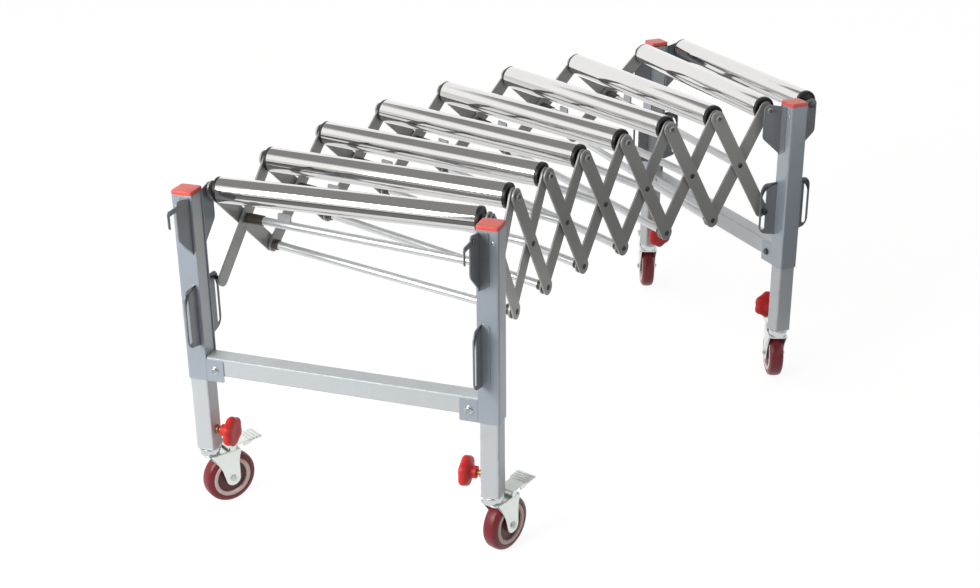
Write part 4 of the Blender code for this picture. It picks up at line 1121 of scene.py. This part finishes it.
zinc_plate = surface("zinc_plate", (200, 205, 204), (226, 228, 228), roughness=0.30, metallic=0.9,
                     marks=0.14, spread=0.14, fineness=420.0, peel=0.08)
slide_tube = square_tube(SLIDE_SIZE, SLIDE_WALL, SLIDE_BEND, FOOT_TOP - WELD_DEPTH, FOOT_TOP + SLIDE_LENGTH)
foot_shapes = [slab(square(TUBE_SIZE, FOOT_BEND), FOOT_LOW, FOOT_TOP), turned(KINGPIN, 20)]
for end, leg in CORNERS:
    seat = (ends[end], at_post(local_side[leg]))
    body = leg + "_inner_leg"
    piece(body + "_tube", [slide_tube.placed(*seat)], silver_paint, body, body)
    piece(body + "_foot", carried(foot_shapes, *seat), zinc_plate, body)


# Caster forks: pressed and zinc-plated sheet steel. Under the foot plate sits a bowl-shaped ball race, and
# two tapered cheeks hold the wheel's bolt in their ends and the brake pedal's pin in their ears.
RACE_TOP = 0.1322
CROWN_TOP = 0.1162
CROWN_LOW = 0.1132
CROWN_BENDS = [0.012, 0.003, 0.003, 0.012]
WHEEL_TRAIL = 0.036
WHEEL_RADIUS = 0.054
FORK_INSIDE = 0.018
FORK_OUTSIDE = 0.0205
FORK_BACK = WHEEL_TRAIL + 0.020
FORK_FRONT = -0.016
FORK_END = 0.0160
PEDAL_REACH = 0.040
PEDAL_PIVOT = 0.1222
PEDAL_EAR = 0.0065
CHEEK_FRONT = [(0.024, CROWN_TOP), (-0.011, CROWN_TOP), (-0.010, CROWN_LOW - 0.002), (0.0115, 0.0840)]
CHEEK_FRONT_BENDS = [0.0, 0.0015, 0.005, 0.014, 0.0]
CHEEK_BACK = [(WHEEL_TRAIL + FORK_END, 0.0930), (FORK_BACK + 0.002, CROWN_LOW - 0.002),
              (FORK_BACK, CROWN_TOP), (PEDAL_REACH + PEDAL_EAR, CROWN_TOP)]
CHEEK_BACK_BENDS = [0.0, 0.010, 0.002, 0.0010, 0.0]
RACE_BOWL = [(CROWN_TOP - 0.0005, 0.0064), (CROWN_TOP - 0.0005, 0.0172), (CROWN_TOP + 0.0020, 0.0184),
             (CROWN_TOP + 0.0080, 0.0202), (RACE_TOP - 0.0035, 0.0210), (RACE_TOP - 0.0008, 0.0206),
             (RACE_TOP, 0.0190), (RACE_TOP, 0.0064)]
BOLT_SHANK = [(-FORK_OUTSIDE, 0.0038), (FORK_OUTSIDE, 0.0038)]
BOLT_NUT = [(FORK_OUTSIDE - 0.0002, 0.0074), (FORK_OUTSIDE + 0.0026, 0.0074),
            (FORK_OUTSIDE + 0.0032, 0.0064)]
BOLT_TIP = [(FORK_OUTSIDE, 0.0040), (FORK_OUTSIDE + 0.0048, 0.0040), (FORK_OUTSIDE + 0.0053, 0.0034)]


def caster_frame(leg):
    """A frame on the floor under a kingpin, with x along the trail and y along the wheel's axle."""
    swivel = joint_place(leg + "_swivel") * (1, 1, 0)
    wheel = joint_place(leg + "_roll") * (1, 1, 0)
    trail = way(swivel, wheel)
    return axes(swivel, trail, np.cross(UP, trail), UP)


def fork_cheek():
    """A cheek: hollow down the front, round the wheel's bolt, up the back, with the pedal's ear on top."""
    low_end = arc((WHEEL_TRAIL, WHEEL_RADIUS), FORK_END, 197, 352, 14)
    outline = np.concatenate([
        rounded([*CHEEK_FRONT, low_end[0]], CHEEK_FRONT_BENDS, closed=False),
        low_end,
        rounded([low_end[-1], *CHEEK_BACK], CHEEK_BACK_BENDS, closed=False),
        arc((PEDAL_REACH, PEDAL_PIVOT), PEDAL_EAR, 0, 180, 12),
        [(PEDAL_REACH - PEDAL_EAR, CROWN_TOP)],
    ])
    return slab(outline, FORK_INSIDE, FORK_OUTSIDE, FLAT_SOFT).placed(upright)


fork_zinc = surface("fork_zinc", (222, 227, 222), (240, 241, 238), roughness=0.28, metallic=0.9,
                    marks=0.14, spread=0.12, fineness=380.0, peel=0.08)
crown_corners = [(FORK_FRONT, -FORK_OUTSIDE), (FORK_BACK, -FORK_OUTSIDE), (FORK_BACK, FORK_OUTSIDE),
                 (FORK_FRONT, FORK_OUTSIDE)]
crown = plate(crown_corners, CROWN_BENDS, CROWN_LOW, CROWN_TOP, 0.0008)
fork_shapes = [crown, fork_cheek(), fork_cheek().placed(flipped(-1))]
race = turned(rounded(RACE_BOWL, 0.0006, 3), 40, closed=True)
wheel_axle = axes((WHEEL_TRAIL, 0, WHEEL_RADIUS), (1, 0, 0), (0, 0, -1), (0, 1, 0))
bolt_shapes = [turned(BOLT_SHANK, 20).placed(wheel_axle)]
for mirror in (np.eye(4), other_end):
    bolt_shapes += carried([turned(BOLT_NUT, 6), turned(BOLT_TIP, 18)], wheel_axle, mirror)
for end, leg in CORNERS:
    fork = leg + "_fork"
    seat = caster_frame(leg)
    piece(fork + "_press", carried(fork_shapes, seat), fork_zinc, fork, fork)
    piece(fork + "_race", [race.placed(seat)], bright_zinc, fork)
    piece(fork + "_bolt", carried(bolt_shapes, seat), zinc_plate, fork)


# Caster wheels: a dark red glossy tyre cast round a webbed core.
# A pale ring shows where the core meets the tyre.
WHEEL_HALF = 0.016
TYRE = [(-WHEEL_HALF + 0.0012, 0.0405), (-WHEEL_HALF, 0.0421), (-WHEEL_HALF + 0.0004, 0.0459),
        (-WHEEL_HALF + 0.0028, 0.0512), (-WHEEL_HALF + 0.0075, WHEEL_RADIUS - 0.0002),
        (0.0, WHEEL_RADIUS + 0.0003)]
RIM_RING = [(WHEEL_HALF - 0.006, 0.0320), (WHEEL_HALF - 0.0008, 0.0328), (WHEEL_HALF + 0.0002, 0.0341),
            (WHEEL_HALF + 0.0002, 0.0391), (WHEEL_HALF - 0.0006, 0.0408), (WHEEL_HALF - 0.006, 0.0410)]
CORE = [(WHEEL_HALF + 0.001, 0.0044), (WHEEL_HALF + 0.001, 0.0138), (WHEEL_HALF + 0.0002, 0.0151),
        (WHEEL_HALF - 0.005, 0.0162), (WHEEL_HALF - 0.005, 0.0320), (WHEEL_HALF - 0.004, 0.0324),
        (WHEEL_HALF - 0.0045, 0.0400)]


def mirrored_profile(half):
    """A turned profile followed by its mirror image across the wheel's middle."""
    half = np.asarray(half, float)
    return tidy(np.concatenate([half, half[::-1] * (-1, 1)]))


tyre_red = surface("tyre_red", (122, 8, 28), (144, 40, 50), roughness=0.36, wear=0.3, marks=0.08,
                   spread=0.20, fineness=900.0, peel=0.04)
rim_cream = surface("rim_cream", (242, 216, 208), (246, 230, 224), roughness=0.38, wear=0.3, marks=0.2)
core_red = surface("core_red", (92, 26, 28), (130, 70, 66), roughness=0.40, wear=0.3, marks=0.2)
tyre = turned(rounded(mirrored_profile(TYRE), 0.0012, 4), 64, closed=True)
rim_ring = turned(rounded(RIM_RING, 0.0005, 3), 64, closed=True)
core = turned(rounded(mirrored_profile(CORE), 0.0005, 3), 48, closed=True)
for end, leg in CORNERS:
    wheel = leg + "_wheel"
    seat = caster_frame(leg)
    piece(wheel + "_tyre", [tyre.placed(seat, wheel_axle)], tyre_red, wheel, wheel)
    rings = [rim_ring.placed(seat, wheel_axle), rim_ring.placed(seat, wheel_axle, other_end)]
    piece(wheel + "_rim", rings, rim_cream, wheel)
    piece(wheel + "_core", [core.placed(seat, wheel_axle)], core_red, wheel)


# Brake pedals: zinc-plated pressed plates on a pin through the fork's ears, lifted a little.
# They have turned-down sides and grip ridges across a wider toe.
PEDAL_HALF = 0.0174
PEDAL_HEEL = 0.010
PEDAL_TOE = 0.067
PEDAL_THICKNESS = 0.0025
PEDAL_LIFT = math.radians(4.0)
PEDAL_BENDS = [0.002, 0.002, 0.002, 0.003, 0.003, 0.002, 0.002, 0.002]
TOE_START = 0.040
TOE_FLARE = TOE_START - 0.006
TOE_HALF = 0.0220
SKIRT = [(0.0235, 0.0), (0.0245, -0.0090), (0.040, -0.0090), (PEDAL_TOE - 0.012, 0.0)]
SKIRT_BENDS = [0.0005, 0.003, 0.004, 0.0005]
SKIRT_INNER = PEDAL_HALF - 0.0026
SKIRT_OUTER = PEDAL_HALF - 0.0004
RIDGES = 4
RIDGE_PITCH = 0.0075
RIDGE_SIZE = 0.0028
RIDGE_STRETCH = (1.0, 1.5)
PEDAL_PIN = [(-FORK_OUTSIDE - 0.0006, 0.0024), (-FORK_OUTSIDE, 0.0030), (FORK_OUTSIDE, 0.0030),
             (FORK_OUTSIDE + 0.0006, 0.0024)]

pedal_corners = [
    (-PEDAL_HEEL, -PEDAL_HALF), (TOE_FLARE, -PEDAL_HALF), (TOE_START, -TOE_HALF), (PEDAL_TOE, -TOE_HALF),
    (PEDAL_TOE, TOE_HALF), (TOE_START, TOE_HALF), (TOE_FLARE, PEDAL_HALF), (-PEDAL_HEEL, PEDAL_HALF),
]
pedal_shapes = [plate(pedal_corners, PEDAL_BENDS, -PEDAL_THICKNESS / 2, PEDAL_THICKNESS / 2, FLAT_SOFT)]
for side in (1, -1):
    skirt = plate(SKIRT, SKIRT_BENDS, SKIRT_INNER, SKIRT_OUTER).placed(upright)
    pedal_shapes.append(skirt.placed(flipped(side)))
ridge_outline = arc((0.0, 0.0), RIDGE_SIZE / 2 + 0.0004, 0, 180, 8) * RIDGE_STRETCH
for ridge in range(RIDGES):
    middle = PEDAL_TOE - 1.5 * RIDGE_SIZE - ridge * RIDGE_PITCH
    ridge_place = axes((middle, 0, PEDAL_THICKNESS / 2 - 0.0003), (1, 0, 0), UP, (0, 1, 0))
    bar = slab(ridge_outline, -TOE_HALF + RIDGE_SIZE, TOE_HALF - RIDGE_SIZE, 0.0004)
    pedal_shapes.append(bar.placed(ridge_place))
lift = axes((0, 0, 0), (math.cos(PEDAL_LIFT), 0, math.sin(PEDAL_LIFT)), (0, 1, 0),
            (-math.sin(PEDAL_LIFT), 0, math.cos(PEDAL_LIFT)))
pedal_pin = turned(PEDAL_PIN, 20).placed(axes((0, 0, 0), (1, 0, 0), (0, 0, -1), (0, 1, 0)))
pedal_hinge = axes((PEDAL_REACH, 0, PEDAL_PIVOT), (1, 0, 0), (0, 1, 0), UP)
for end, leg in CORNERS:
    pedal = leg + "_pedal"
    seat = caster_frame(leg)
    pressing = carried(pedal_shapes, seat, pedal_hinge, lift)
    pressing.append(pedal_pin.placed(seat, pedal_hinge))
    piece(pedal + "_plate", pressing, fork_zinc, pedal, pedal)


# Lock knobs: moulded red grips with six soft lobes on a short neck.
# A brass stud screws each of them into its leg tube.
STUD = [(-0.002, 0.0044), (-0.0015, 0.0050), (0.013, 0.0050)]
GRIP_LOBES = 6
GRIP_TURNS = 96
GRIP = [
    (0.0120, 0.0110, 0.0), (0.0124, 0.0120, 0.0), (0.0205, 0.0122, 0.0), (0.0228, 0.0145, 0.0),
    (0.0243, 0.0215, 0.4), (0.0264, 0.0278, 0.8), (0.0300, 0.0311, 1.0), (0.0342, 0.0320, 1.0),
    (0.0382, 0.0310, 1.0), (0.0412, 0.0276, 0.8), (0.0426, 0.0222, 0.4), (0.0430, 0.0163, 0.1),
    (0.0427, 0.0116, 0.0), (0.0424, 0.0104, 0.0), (0.0422, 0.0023, 0.0),
]
LOBE_DEPTH = 0.0035
LOBE_WEAR_FROM = 0.6


def lobed_grip():
    """A knob: radius r at height h shrinks by lobe share times depth times (1 - cos 6a) / 2 at angle a."""
    height, radius, lobe = (column[:, None] for column in np.array(GRIP).T)
    angle = np.linspace(0.0, 2 * math.pi, GRIP_TURNS, endpoint=False)
    radius = radius - LOBE_DEPTH * lobe * (1 - np.cos(GRIP_LOBES * angle)) / 2
    points = np.stack([radius * np.cos(angle), radius * np.sin(angle), height + 0 * angle], -1)
    return skin(points, (lobe > LOBE_WEAR_FROM) * (0.5 + 0.5 * np.cos(GRIP_LOBES * angle)))


red_plastic = surface("red_plastic", (216, 34, 34), (236, 90, 84), roughness=0.46, wear=0.3, marks=0.06,
                      spread=0.12, fineness=1600.0, peel=0.08)
grip = lobed_grip()
stud = turned(STUD, 24)
for end, leg in CORNERS:
    knob = leg + "_knob"
    seat = joint_frame(knob + "_turn")
    piece(knob + "_grip", [grip.placed(seat)], red_plastic, knob, knob)
    piece(knob + "_stud", [stud.placed(seat)], brass, knob)


bpy.context.scene.view_settings.view_transform = "Standard"
